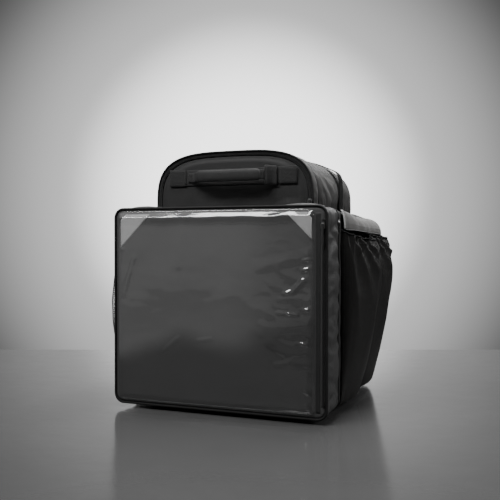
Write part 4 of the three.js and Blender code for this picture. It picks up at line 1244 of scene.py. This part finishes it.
def make_hood_zip():
    """The zip round the hood's front panel, and the piping outside it."""
    insets = np.linspace(3.2, 10.2, 7)
    lines = [arch(HOOD_WIDTH - 2 * i, HOOD_HEIGHT - i, HOOD_FRONT - 0.4, 110) for i in insets]
    tape = face_along(loft("hood_zip_tape", np.array(lines).transpose(1, 0, 2), ZIP_TAPE), -1)
    dress(thicken(tape, 1.4, 1.0), "zip_tape", "hood_zip")
    middle = float(insets.mean())
    line = arch(HOOD_WIDTH - 2 * middle, HOOD_HEIGHT - middle, HOOD_FRONT - 2.3, 160)
    teeth = zip_teeth("hood_zip_teeth", line[1:-1], (0, -1, 0), 2.2, 1.9, 1.1)
    dress(teeth, "zip_tape", "hood_zip")
    path = arch(HOOD_WIDTH - 1.8, HOOD_HEIGHT - 0.9, HOOD_FRONT - 2.5, 160, low=0.3)
    dress(tube("hood_edge_piping", path, 2.2, PIPING, sides=12), "piping", "hood_piping")


def make_over_strap():
    """Webbing pulled over the hood, which leans forward at its feet and stands clear of the cloth
    at the hood's shoulders."""
    shoulder, spread, clear, lean = 0.52, 0.22, 2.4, 16
    path = []
    for angle in np.linspace(0, math.pi, 240):
        away = (min(angle, math.pi - angle) - shoulder) / spread
        lift = clear + OVER_STRAP["lift"] * math.exp(-away * away)
        x, z = arch_point(angle, HOOD_WIDTH * 1.02 + 2 * lift, HOOD_HEIGHT * 0.99 + lift)
        forward = lean * float(smooth(1 - z / HOOD_HEIGHT, 0.2, 1.0))
        y = HOOD_FRONT + OVER_STRAP["place"] * HOOD_LENGTH - forward
        path.append((float(x), y, HOOD_FLOOR + max(GAP, float(z))))
    piece = ribbon("over_strap_webbing", path, (0, -1, 0), OVER_STRAP["width"] + 6, 2.2, STRAP_WEBBING)
    dress(piece, "webbing", "over_strap")


# The handle strap's bends: across from its middle in millimetres, and out as a share of its stand-off
HANDLE_BENDS = [
    (-103, 0),
    (-94, 0.04),
    (-76, 0.74),
    (-59, 1),
    (2, 1.04),
    (63, 1),
    (77, 0.82),
    (84, 0.34),
    (92, 0.046),
    (105, 0),
]


def make_handle():
    """The carry handle: a flat base, two sewn patches, the strap that stands out of them, its
    padded grip and the keeper at the grip's right."""
    z, y, wide = HANDLE["height"], HANDLE["y"], HANDLE["width"]
    half = HANDLE["length"] / 2
    down = (0, 0, -1)
    path = [(x, y, z) for x in np.linspace(-half, half, 60)]
    base = ribbon("handle_base_webbing", path, down, wide, WEBBING, EDGE_WEBBING)
    dress(base, "webbing", "handle_base")
    front = y - WEBBING - GAP
    seams = []
    for name, hand in (("left", -1), ("right", 1)):
        middle = hand * (half - HANDLE["patch"] / 2 + 1)
        reach = HANDLE["patch"] / 2
        path = [(x, front, z) for x in np.linspace(middle - reach, middle + reach, 12)]
        patch = ribbon("handle_patch_webbing_" + name, path, down, wide + 2, WEBBING, EDGE_WEBBING)
        dress(patch, "webbing", "handle_patch_" + name)
        seams += crossed_square(middle, front - WEBBING - 0.15, z)
    route = curve([(x, front - GRIP["stand_off"] * out, z) for x, out in HANDLE_BENDS], 120)
    strap = ribbon("handle_strap_webbing", route, down, HANDLE["strap"], WEBBING, EDGE_WEBBING, 2.5)
    dress(strap, "webbing", "handle_strap")
    gripped = (route[:, 0] > GRIP["start"]) & (route[:, 0] < GRIP["end"])
    seams.append(make_grip(even(route[gripped], 2.5)))
    covered = route[route[:, 0] > GRIP["end"] + 5]
    covered = covered + np.cross(down, directions(covered)) * (WEBBING + KEEPER["clear"])
    wide, thick = KEEPER["width"], KEEPER["thickness"]
    keeper = ribbon("handle_keeper_webbing", covered, down, wide, thick, EDGE_WEBBING, 2)
    dress(keeper, "webbing", "handle_keeper")
    for share in (0.35, 0.62, 0.86):
        x, y, z = covered[int(share * (len(covered) - 1))]
        seams.append(([(x, y - 3, z - 17), (x, y - 3, z + 17)], (0, -1, 0)))
    dress(stitches("handle_stitches", seams, GREY_THREAD), "webbing")


def crossed_square(x, y, z):
    """The stitched square with its two diagonals that holds a patch."""
    a, b = 16, 14
    corners = [(-a, -b), (a, -b), (a, b), (-a, b)]
    lines = ([*corners, corners[0], corners[2]], [corners[3], corners[1]])
    return [(even([(x + p, y, z + q) for p, q in line], 3), (0, -1, 0)) for line in lines]


def make_grip(path):
    """The padded sleeve round the strap. Returns the line of its lower seam."""
    out = np.cross((0, 0, -1), directions(path))
    rings = []
    for i, (p, o) in enumerate(zip(path, out)):
        end = min(i, len(path) - 1 - i) * 2.5
        full = 0.72 + 0.28 * math.sin(min(1, end / 7) * math.pi / 2)
        section = squarish(GRIP["thickness"] * full, GRIP["height"] * full, 0.72, 0.72, 28)
        rings.append([p + o * (a + 0.8) + np.array([0, 0, b]) for a, b in section])
    rings = np.array(rings)
    rings += 0.35 * cloudy(rings * np.array([2.5, 1, 1]), 14, 3.0)[..., None] * np.array([0, 1, 0.6])
    grip = loft("grip_sleeve", rings, PANEL_CLOTH, around=True, ends=True)
    dress(rounded(grip), "black_cloth", "handle_grip")
    lower = path + out * (GRIP["thickness"] / 2 - 1.6) + np.array([0, 0, 1.2 - GRIP["height"] / 2])
    return lower[3:-3], (0, -0.7, -0.7)


# The sides


def side_wall(y, z):
    """How far the box's side is from its middle."""
    straight = BOX_HEIGHT - 2 * EDGE_RADIUS
    share = (z - BASE_DROP - EDGE_RADIUS) / straight
    past = np.maximum(0, np.maximum(BASE_DROP + EDGE_RADIUS - z, z - BOX_TOP + EDGE_RADIUS))
    rounding = EDGE_RADIUS - np.sqrt(np.maximum(0, EDGE_RADIUS**2 - past**2))
    crown = SIDE_CROWN * hump(share) * hump((y - SHELL_FRONT) / (BOX_DEPTH - SHELL_FRONT))
    return BOX_WIDTH / 2 + crown - rounding


def flap_rows():
    """The flap hangs in a convex curve from the top edge, further out towards the rear."""
    lip = EDGE_RADIUS - (EDGE_RADIUS + 0.6 + FLAP["thickness"]) * math.sqrt(0.5)
    t = np.linspace(0, 1, 22)[:, None]
    free = smooth(t[:, 0], 0.35, 1)
    rows = []
    for share in np.linspace(0, 1, 72):
        y = FLAP["start"] + share * FLAP["length"]
        edge = BOX_TOP - float(top_sag(BOX_WIDTH / 2, y, BOX_TOP))
        full = (0.24 + 0.36 * share**0.8) * (1 - 0.3 * float(smooth(share, 0.9, 1)))
        out = FLAP["reach"] * full * (0.4 + 0.6 * float(smooth(share, 0, 0.16)))
        down = edge - BOX_TOP + BOX_HEIGHT * (FLAP["drop"] + FLAP["rear_drop"] * share)
        corners = ((-lip, lip), (out * 0.45, lip), (out, lip + 0.3 * down), (out * 1.02, down))
        a, b, c, d = map(np.array, corners)
        section = a * (1 - t) ** 3 + 3 * b * t * (1 - t) ** 2 + 3 * c * t * t * (1 - t) + d * t**3
        wave = 1.6 * math.sin(share * 17 + 0.6) * (0.4 + share) + 0.8 * math.sin(share * 41)
        rows.append([(BOX_WIDTH / 2 + p[0] + w, y, edge - p[1]) for p, w in zip(section, free * wave)])
    return np.array(rows)


def make_flap():
    rows = flap_rows()
    piece = turn_out(loft("flap", rows, FLAP_CLOTH), (100, 260, 380))
    thicken(rounded(piece), 1.6, 1.0)
    dress(piece, "side_cloth", "side_flap")
    sheet_of(piece, rows)
    front, foot, rear = (rows[0, 3:], (0, 1, 0)), (rows[1:-1, -1], (0, 0, 1)), (rows[-1, 3:][::-1], (0, 1, 0))
    trims = [
        tube("flap_edge_%d" % number, edge, 1.7, LIGHT_BINDING, facing=facing, sides=8, spacing=3)
        for number, (edge, facing) in enumerate((front, foot, rear))
    ]
    dress(join("flap_binding", trims), "side_cloth", "side_flap")
    out = (0.9, 0, 0.3)
    lines = [(rows[3, 4:] + np.array([2.2, 0, 0.6]), out), (rows[2:-2, -4] + np.array([2.2, 0, 0.3]), out)]
    dress(stitches("flap_stitches", lines, GREY_THREAD), "side_cloth")


# How full each pocket is, by how far down the box it is measured, in shares of the box's height
SIDE_FULLNESS = [
    {"down": 0.1, "out": 0.8},
    {"down": 0.2, "out": 0.98},
    {"down": 0.3, "out": 1},
    {"down": 0.45, "out": 0.96},
    {"down": 0.6, "out": 0.84},
    {"down": 0.79, "out": 0.6},
    {"down": 0.92, "out": 0.4},
    {"down": 1, "out": 0.26},
]
MESH_FULLNESS = [
    {"down": 0.26, "out": 0.74},
    {"down": 0.36, "out": 0.92},
    {"down": 0.5, "out": 1},
    {"down": 0.62, "out": 0.98},
    {"down": 0.73, "out": 0.9},
    {"down": 0.82, "out": 0.7},
    {"down": 0.9, "out": 0.45},
]
SIDE_POCKET = {"hand": 1, "width": POCKET_WIDTH, "drop": 48, "height": 364, "fullness": SIDE_FULLNESS}
FRONT_GATHERS = {"start": POCKET_START, "bulge": 60, "dip": 21, "gathers": 15, "seed": 1}
REAR_GATHERS = {"start": REAR_POCKET_START, "bulge": 57, "dip": 17, "gathers": 16, "seed": 6}
POCKETS = {
    "pocket_front": {**SIDE_POCKET, **FRONT_GATHERS},
    "pocket_rear": {**SIDE_POCKET, **REAR_GATHERS},
}
BOTTLE_POCKET = {
    "hand": -1,
    "start": 103,
    "width": 110,
    "drop": 110,
    "height": 262,
    "fullness": MESH_FULLNESS,
    "bulge": 92,
    "dip": 22,
    "gathers": 0,
}
# Folds that hang from a gathered rim: where each starts and ends in shares of the pocket's width,
# how far down it reaches in shares of its height, how far it stands out and how wide it is
HANGING_FOLDS = [
    {"start": 0.05, "end": 0.28, "reach": 0.80, "out": 3.0, "width": 0.050},
    {"start": 0.13, "end": 0.42, "reach": 0.50, "out": 7.0, "width": 0.044},
    {"start": 0.23, "end": 0.50, "reach": 0.34, "out": 10.0, "width": 0.040},
    {"start": 0.34, "end": 0.53, "reach": 0.24, "out": 10.0, "width": 0.032},
    {"start": 0.43, "end": 0.48, "reach": 1.10, "out": 8.0, "width": 0.050},
    {"start": 0.58, "end": 0.55, "reach": 0.55, "out": 7.0, "width": 0.032},
    {"start": 0.70, "end": 0.58, "reach": 0.42, "out": 8.0, "width": 0.034},
    {"start": 0.84, "end": 0.66, "reach": 0.70, "out": 5.5, "width": 0.044},
]


POCKET_POWER = 2.7


def hanging_folds(share, level, gathers, seed):
    """The folds at one level of a gathered pocket: short puckers at its rim, and the long ones."""
    drift = np.array([noise.noise(Vector((s * 4, level * 2, seed))) for s in share])
    puckers = 1 - 2 * np.abs(np.sin(math.pi * gathers * (share + 0.015 * drift))) ** 0.8
    out = 2.4 * puckers * float(1 - smooth(level, 0.02, 0.15))
    for row in HANGING_FOLDS:
        run = min(1, level / row["reach"])
        middle = row["start"] + (row["end"] - row["start"]) * (1 - (1 - run) ** 1.8) + 0.03 * drift * run
        wide = row["width"] * (0.75 + 1.3 * run)
        away = (share - middle) / wide
        crest = np.exp(-np.abs(np.where(away > 0, away * 1.5, away * 0.8)) ** 1.4)
        out = out + row["out"] * crest * (1 - float(smooth(run, 0.35, 1)) * 0.85)
    return 1.1 * out + 2.5 * drift * float(smooth(level, 0.15, 0.6)) - 8.5


def pocket_rows(pocket, columns=140, levels=110):
    """A pocket gathered into its elastic rim, its foot turned in to the seam."""
    hand, bulge = pocket["hand"], pocket["bulge"]
    top = BOX_TOP - pocket["drop"]
    foot = top - pocket["height"]
    share = np.linspace(0, 1, columns + 1)
    angle = share * math.pi
    across = -np.sign(np.cos(angle)) * np.abs(np.cos(angle)) ** (2 / POCKET_POWER)
    out = np.maximum(0, np.sin(angle)) ** (2 / POCKET_POWER)
    out[0] = out[-1] = 0
    y = pocket["start"] + pocket["width"] / 2 * (1 + across)
    rows = []
    for level in np.concatenate([np.linspace(0, 0.12, 20)[:-1], np.linspace(0.12, 1, levels - 19)]):
        z = (top - pocket["dip"] * out) * (1 - level) + foot * level
        down = (BOX_TOP - z) / BOX_HEIGHT
        full = bulge * np.array([read(pocket["fullness"], "down", d, "out") for d in down])
        folds = 0
        if pocket["gathers"]:
            folds = hanging_folds(share, level, pocket["gathers"], pocket["seed"]) * np.minimum(1, out * 1.6)
        x = hand * (side_wall(y, z) + GAP + full * out + folds)
        rows.append(np.stack([x, y, z], axis=1))
    last = rows[-1]
    seam = hand * (side_wall(last[:, 1], last[:, 2]) + GAP)
    for left in (0.66, 0.33, 0.04):
        x, z = seam + (last[:, 0] - seam) * left, last[:, 2] - 1.2 * (1 - left)
        rows.append(np.stack([x, last[:, 1], z], axis=1))
    return np.array(rows)


def rim_of(name, rows, hand):
    """The elastic binding of a pocket's mouth, puckered where it is gathered."""
    radius = 1.9
    top = rows[0] + np.array([-hand * 0.6, 0, 1.6])

    def pucker(along):
        return radius * (1 + 0.13 * math.sin(along * 0.9) + 0.07 * math.sin(along * 2.3))

    return tube(name, top, pucker, POCKET_ELASTIC, facing=(0, 0, 1), sides=10, spacing=1.6)


def make_pockets():
    for name, pocket in POCKETS.items():
        rows = pocket_rows(pocket)
        inside = (200, pocket["start"] + POCKET_WIDTH / 2, 200)
        piece = turn_out(loft(name + "_cloth", rows, POCKET_CLOTH), inside)
        thicken(piece, 1.2)
        dress(piece, "side_cloth", name)
        sheet_of(piece, rows)
        dress(rim_of(name + "_elastic", rows, 1), "webbing", name + "_rim")
        sides = [(rows[4:-6, k] + np.array([0.8, 0, 0]), (0.8, 0, 0)) for k in (3, -4)]
        hem = (rows[5, 4:-4] + np.array([1.4, 0, 0]), (1, 0, 0))
        dress(stitches(name + "_stitches", [*sides, hem]), "side_cloth")


# The bottle pocket's net


def net_tree():
    """The cells between a sheet's points, drawn as round strands."""
    tree, made, wires = tree_named("net", "Net", Sheet="Geometry", Strand="Float", Material="Material")
    cells = made.node("GeometryNodeDualMesh", {"Mesh": wires["Sheet"]})
    lines = made.node("GeometryNodeMeshToCurve", {"Mesh": cells})
    section = made.node("GeometryNodeCurvePrimitiveCircle", {"Resolution": 4, "Radius": wires["Strand"]})
    strands = made.node("GeometryNodeCurveToMesh", {"Curve": lines, "Profile Curve": section})
    real = made.node("GeometryNodeRealizeInstances", {"Geometry": strands})
    painted = made.node("GeometryNodeSetMaterial", {"Geometry": real, "Material": wires["Material"]})
    made.node("NodeGroupOutput", {"Net": painted})
    return tree


def net_sheet(fine, columns, levels):
    """Triangles over the pocket, every other row set half a cell along: points and faces."""
    count, width = fine.shape[:2]
    points, faces = [], []
    for i in range(levels + 1):
        v = i / levels * (count - 1)
        for j in range(columns + 1):
            u = min((j + i % 2 / 2) / columns, 1) * (width - 1)
            a, b = int(min(v, count - 2)), int(min(u, width - 2))
            s, t = v - a, u - b
            near, far = (fine[a, k] * (1 - s) + fine[a + 1, k] * s for k in (b, b + 1))
            points.append(near * (1 - t) + far * t)
    row = columns + 1
    for i in range(levels):
        for j in range(columns):
            a, b, c, d = i * row + j, i * row + j + 1, (i + 1) * row + j, (i + 1) * row + j + 1
            faces += [(a, b, d), (a, d, c)] if i % 2 else [(a, b, c), (b, d, c)]
    return points, faces


def make_bottle_pocket():
    fine = pocket_rows(BOTTLE_POCKET)
    piece = make_piece("bottle_net", *net_sheet(fine, 38, 52), NETTING)
    run_tree(piece, net_tree(), Strand=0.55 * MM, Material=NETTING)
    piece.data.shade_smooth()
    dress(piece, "netting", "mesh_pocket")
    dress(rim_of("bottle_pocket_elastic", fine, -1), "webbing", "mesh_pocket_rim")
    for name, k, lean in (("front", 0, 1.2), ("rear", -1, -1.2)):
        edge = fine[:, k] + np.array([-0.9, lean, 0])
        seam = tube("bottle_pocket_seam_" + name, edge, 1.5, BINDING, sides=8, spacing=3)
        dress(seam, "webbing", "mesh_pocket")
    edge = fine[-4] + np.array([0, 0, 0.5])
    foot = tube("bottle_pocket_foot", edge, 1.5, BINDING, facing=(0, 0, 1), sides=8, spacing=3)
    dress(foot, "webbing", "mesh_pocket")


# The back


def make_back_pad():
    """The padded panel against the back, with two stitched channels down it."""
    width, height, thickness, low = (BACK_PAD[k] for k in ("width", "height", "thickness", "low"))
    x, z = np.meshgrid(np.linspace(-1, 1, 84), np.linspace(-1, 1, 72))
    power = 5
    reach = np.maximum((np.abs(x) ** power + np.abs(z) ** power) ** (1 / power), 1e-6)
    square = np.maximum(np.abs(x), np.abs(z))
    x, z = x * square / reach * width / 2, z * square / reach * height / 2
    crown = smooth(1 - square, 0, 0.13)
    inner = smooth(height / 2 - np.abs(z), 18, 40)
    channels = sum(np.exp(-(((x - middle) / 5) ** 2)) * inner for middle in (-58, 58))
    soft = 0.6 * np.abs(cloudy(np.stack([x, x * 0, z], axis=2), 45, 3.0))
    y = BOX_DEPTH + GAP + thickness * (0.25 + 0.75 * crown) - (5.5 * channels + soft) * crown
    rows = np.stack([x, y, low + height / 2 + z], axis=2)
    piece = turn_out(loft("back_padding", rows, SPACER), (0, 400, 230))
    thicken(rounded(piece), 3.0)
    dress(piece, "black_cloth", "back_pad")
    rim = np.vstack([rows[0], rows[1:, -1], rows[-1, ::-1][1:], rows[::-1, 0][1:-1]])
    rim[:, 1] = BOX_DEPTH + GAP + 3.0
    dress(tube("back_pad_binding", rim, 3.0, BINDING, closed=True, sides=8), "webbing", "back_pad")


# The shoulder straps' bends: out as a share of the stand-off, and down as a share of the length
STRAP_BENDS = [(0.08, -0.02), (0.2, 0.03), (0.72, 0.11), (1, 0.36), (0.92, 0.68), (0.7, 1)]


def strap_route():
    back = BOX_DEPTH + GAP
    bends = [(out * STRAP["stand_off"], down * STRAP["length"]) for out, down in STRAP_BENDS]
    return curve([(0, back + out, STRAP["top"] - down) for out, down in bends], 120)


def make_straps():
    for name, hand in (("left", -1), ("right", 1)):
        x = np.array([hand * STRAP["spacing"] / 2, 0, 0])
        make_strap(name, even(strap_route(), 4) + x)
        make_strap_webbing(name, x)


def make_strap(name, path):
    """The strap's padding, with its binding along both edges."""
    out = np.cross(directions(path), (1, 0, 0))
    rings, edges = [], {-1: [], 1: []}
    for i, (p, o) in enumerate(zip(path, out)):
        end = min(i, len(path) - 1 - i) * 4
        full = 0.62 + 0.38 * math.sin(min(1, end / 20) * math.pi / 2)
        ring = []
        for a, b in squarish(STRAP["width"] * full, STRAP["thickness"] * full, 0.45, 0.6, 32):
            channel = 0.25 * math.exp(-(((abs(a) - 20) / 3) ** 2))
            ring.append(p + o * b * (0.94 - channel) + np.array([a, 0, 0]))
        rings.append(ring)
        for side in (-1, 1):
            edges[side].append(p + np.array([side * STRAP["width"] / 2 * full * 0.985, 0, 0]))
    piece = loft("strap_padding_" + name, rings, SPACER, around=True, ends=True)
    dress(rounded(piece), "black_cloth", "shoulder_strap_" + name)
    trims = [
        tube("strap_edge_%s_%d" % (name, side), edge, 1.6, BINDING, facing=(1, 0, 0), sides=8)
        for side, edge in edges.items()
    ]
    dress(join("strap_binding_" + name, trims), "webbing", "shoulder_strap_" + name)


def make_strap_webbing(name, x):
    """The webbing below the padding, through the adjuster and in to the foot of the back."""
    route = strap_route()
    way = route[-1] - route[-2]
    way /= np.linalg.norm(way)
    start = route[-1] + way * GAP
    bend = start + way * 22
    last = np.array([0, BOX_DEPTH + 1.9, STRAP_TAIL_END])
    pulled = (last[2] - bend[2]) / 2
    a, b, c, d = bend, bend - way * pulled * 0.8, last - (0, 0, pulled), last
    t = np.linspace(0, 1, 40)[:, None]
    hang = a * (1 - t) ** 3 + 3 * b * t * (1 - t) ** 2 + 3 * c * t * t * (1 - t) + d * t**3
    path = np.vstack([[start], hang]) + x
    piece = ribbon("strap_tail_" + name, path, (-1, 0, 0), NARROW_WEBBING, WEBBING, EDGE_WEBBING)
    dress(piece, "webbing", "strap_webbing_" + name)


def make_haul_loop():
    span, out = HAUL_LOOP["half_span"], HAUL_LOOP["stand_off"]
    bends = [(-1.3, 0), (-1, 0.025), (-0.55, 0.8), (0, 1), (0.55, 0.8), (1, 0.025), (1.3, 0)]
    path = curve([(a * span, BOX_DEPTH + GAP + b * out, HAUL_LOOP["height"]) for a, b in bends], 90)
    piece = ribbon("haul_loop_webbing", path, (0, 0, 1), NARROW_WEBBING, WEBBING, EDGE_WEBBING, 2.5)
    dress(piece, "webbing", "haul_loop")


def make_rings():
    """The wire ring that joins each slider to its pull."""
    for name, node, facing in (
        ("hood_ring", "hood_zip_slider", (0, -1, 0)),
        ("sleeve_ring", "sleeve_zip_slider", (0, -1, 0)),
        ("door_ring_top", "door_slider_top", (0, 0, 1)),
        ("door_ring_side", "door_slider_side", (1, 0, 0)),
    ):
        low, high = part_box(node)
        out = np.array(facing, float)
        reach = abs(np.dot(np.array(high - low), out)) / 2 / MM + 0.6
        middle = (np.array(low + high) / 2 - BAG) / MM + out * reach
        across = np.cross(out, (0.3, 0.4, 0.86))
        across /= np.linalg.norm(across)
        turns = np.linspace(0, 2 * math.pi, 24, endpoint=False)[:, None]
        path = middle + RING["radius"] * (np.cos(turns) * across + np.sin(turns) * np.cross(out, across))
        ring = tube(name, path, RING["wire"], SLIDER, facing=facing, closed=True, sides=8, spacing=1)
        dress(ring, "moulded")


# Finishes on the kept solids


def paint(material, *nodes):
    """Gives kept solids their finish."""
    for node in nodes:
        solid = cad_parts[node]
        for slot in solid.material_slots:
            slot.material = material
        if not solid.material_slots:
            solid.data.materials.append(material)


# The studio


EYE = Vector((0.58516, -1.5742, 0.36028))
PITCH, TURN = math.radians(89.26), math.radians(20.7)
AHEAD = Vector((-math.sin(TURN), math.cos(TURN), 0))
ASIDE = Vector((math.cos(TURN), math.sin(TURN), 0))


def place_in_scene(name, data):
    thing = bpy.data.objects.new(name, data)
    bpy.context.scene.collection.objects.link(thing)
    return thing


def make_camera():
    camera = bpy.data.cameras.new("camera")
    camera.lens, camera.sensor_width = 50, 36
    holder = place_in_scene("camera", camera)
    holder.location = EYE
    holder.rotation_euler = (PITCH, 0, TURN)
    bpy.context.scene.camera = holder


def make_floor():
    """A floor that ends behind the bag, where the wall begins."""
    near, far, wide = -8, 2.3, 8
    ground = Vector((EYE.x, EYE.y, 0))
    reaches = ((near, -wide), (near, wide), (far, wide), (far, -wide))
    corners = [ground + AHEAD * a + ASIDE * b for a, b in reaches]
    mesh = bpy.data.meshes.new("floor")
    mesh.from_pydata([tuple(corner) for corner in corners], [], [(0, 1, 2, 3)])
    mesh.materials.append(studio_floor("pale_floor"))
    place_in_scene("floor", mesh)


def softbox(name, place, target, width, height, power):
    light = bpy.data.lights.new(name, "AREA")
    light.shape, light.size, light.size_y, light.energy = "RECTANGLE", width, height, power
    lamp = place_in_scene(name, light)
    lamp.location = place
    lamp.rotation_euler = (Vector(target) - Vector(place)).to_track_quat("-Z", "Y").to_euler()


def make_backdrop():
    """A wall that is bright behind the bag and dim towards the sides."""
    world = bpy.data.worlds.new("studio")
    bpy.context.scene.world = world
    world.use_nodes = True
    world.node_tree.nodes.clear()
    made = Finish(world.node_tree)
    centre = tuple((AHEAD + Vector((0, 0, 0.06))).normalized())
    facing = made.node(
        "ShaderNodeVectorMath", {0: made.places("Generated"), 1: centre}, output=1, operation="DOT_PRODUCT"
    )
    broad = made.step(facing, 0.885, 1.0) ** 1.4
    tone = made.blend(broad, grey(0.045), grey(0.96))
    tone = made.blend(made.step(facing, 0.965, 1.0), tone, grey(3.1))
    made.node("ShaderNodeOutputWorld", {"Surface": made.node("ShaderNodeBackground", {"Color": tone})})


make_camera()
make_floor()
softbox("top_softbox", (0.2, 0.0, 1.9), (0.05, 0, 0.3), 1.4, 0.5, 40)
softbox("rear_softbox", (0.5, 1.3, 1.7), (0.05, 0, 0.4), 1.0, 0.6, 20)
softbox("side_softbox", (1.9, 0.15, 1.1), (0.3, 0, 0.3), 0.4, 0.9, 17)
softbox("front_panel", (-0.75, -2.0, 0.62), (-0.1, 0, 0.35), 1.7, 1.1, 0.7)
softbox("ridge_strip", (-0.6, -1.4, 1.9), (-0.6, -0.27, 0.42), 1.9, 0.5, 44)
make_backdrop()
make_cover()
make_shell()
make_door_zip()
make_piping()
make_window()
make_face()
make_sleeve_zip()
make_hood()
make_hood_front()
make_hood_zip()
make_over_strap()
make_handle()
make_flap()
make_pockets()
make_bottle_pocket()
make_back_pad()
make_straps()
make_haul_loop()
make_rings()
paint(SHEET, "insert_sheet")
paint(SLIDER, "door_slider_top", "door_slider_side", "sleeve_zip_slider", "hood_zip_slider")
paint(MOULDED, "door_pull_top", "door_pull_side", "sleeve_zip_pull", "hood_zip_pull")
paint(MOULDED, "strap_adjuster_left", "strap_adjuster_right")

for name, (width, length, area) in flat_sizes.items():
    print("flat size", name, width, length, area)
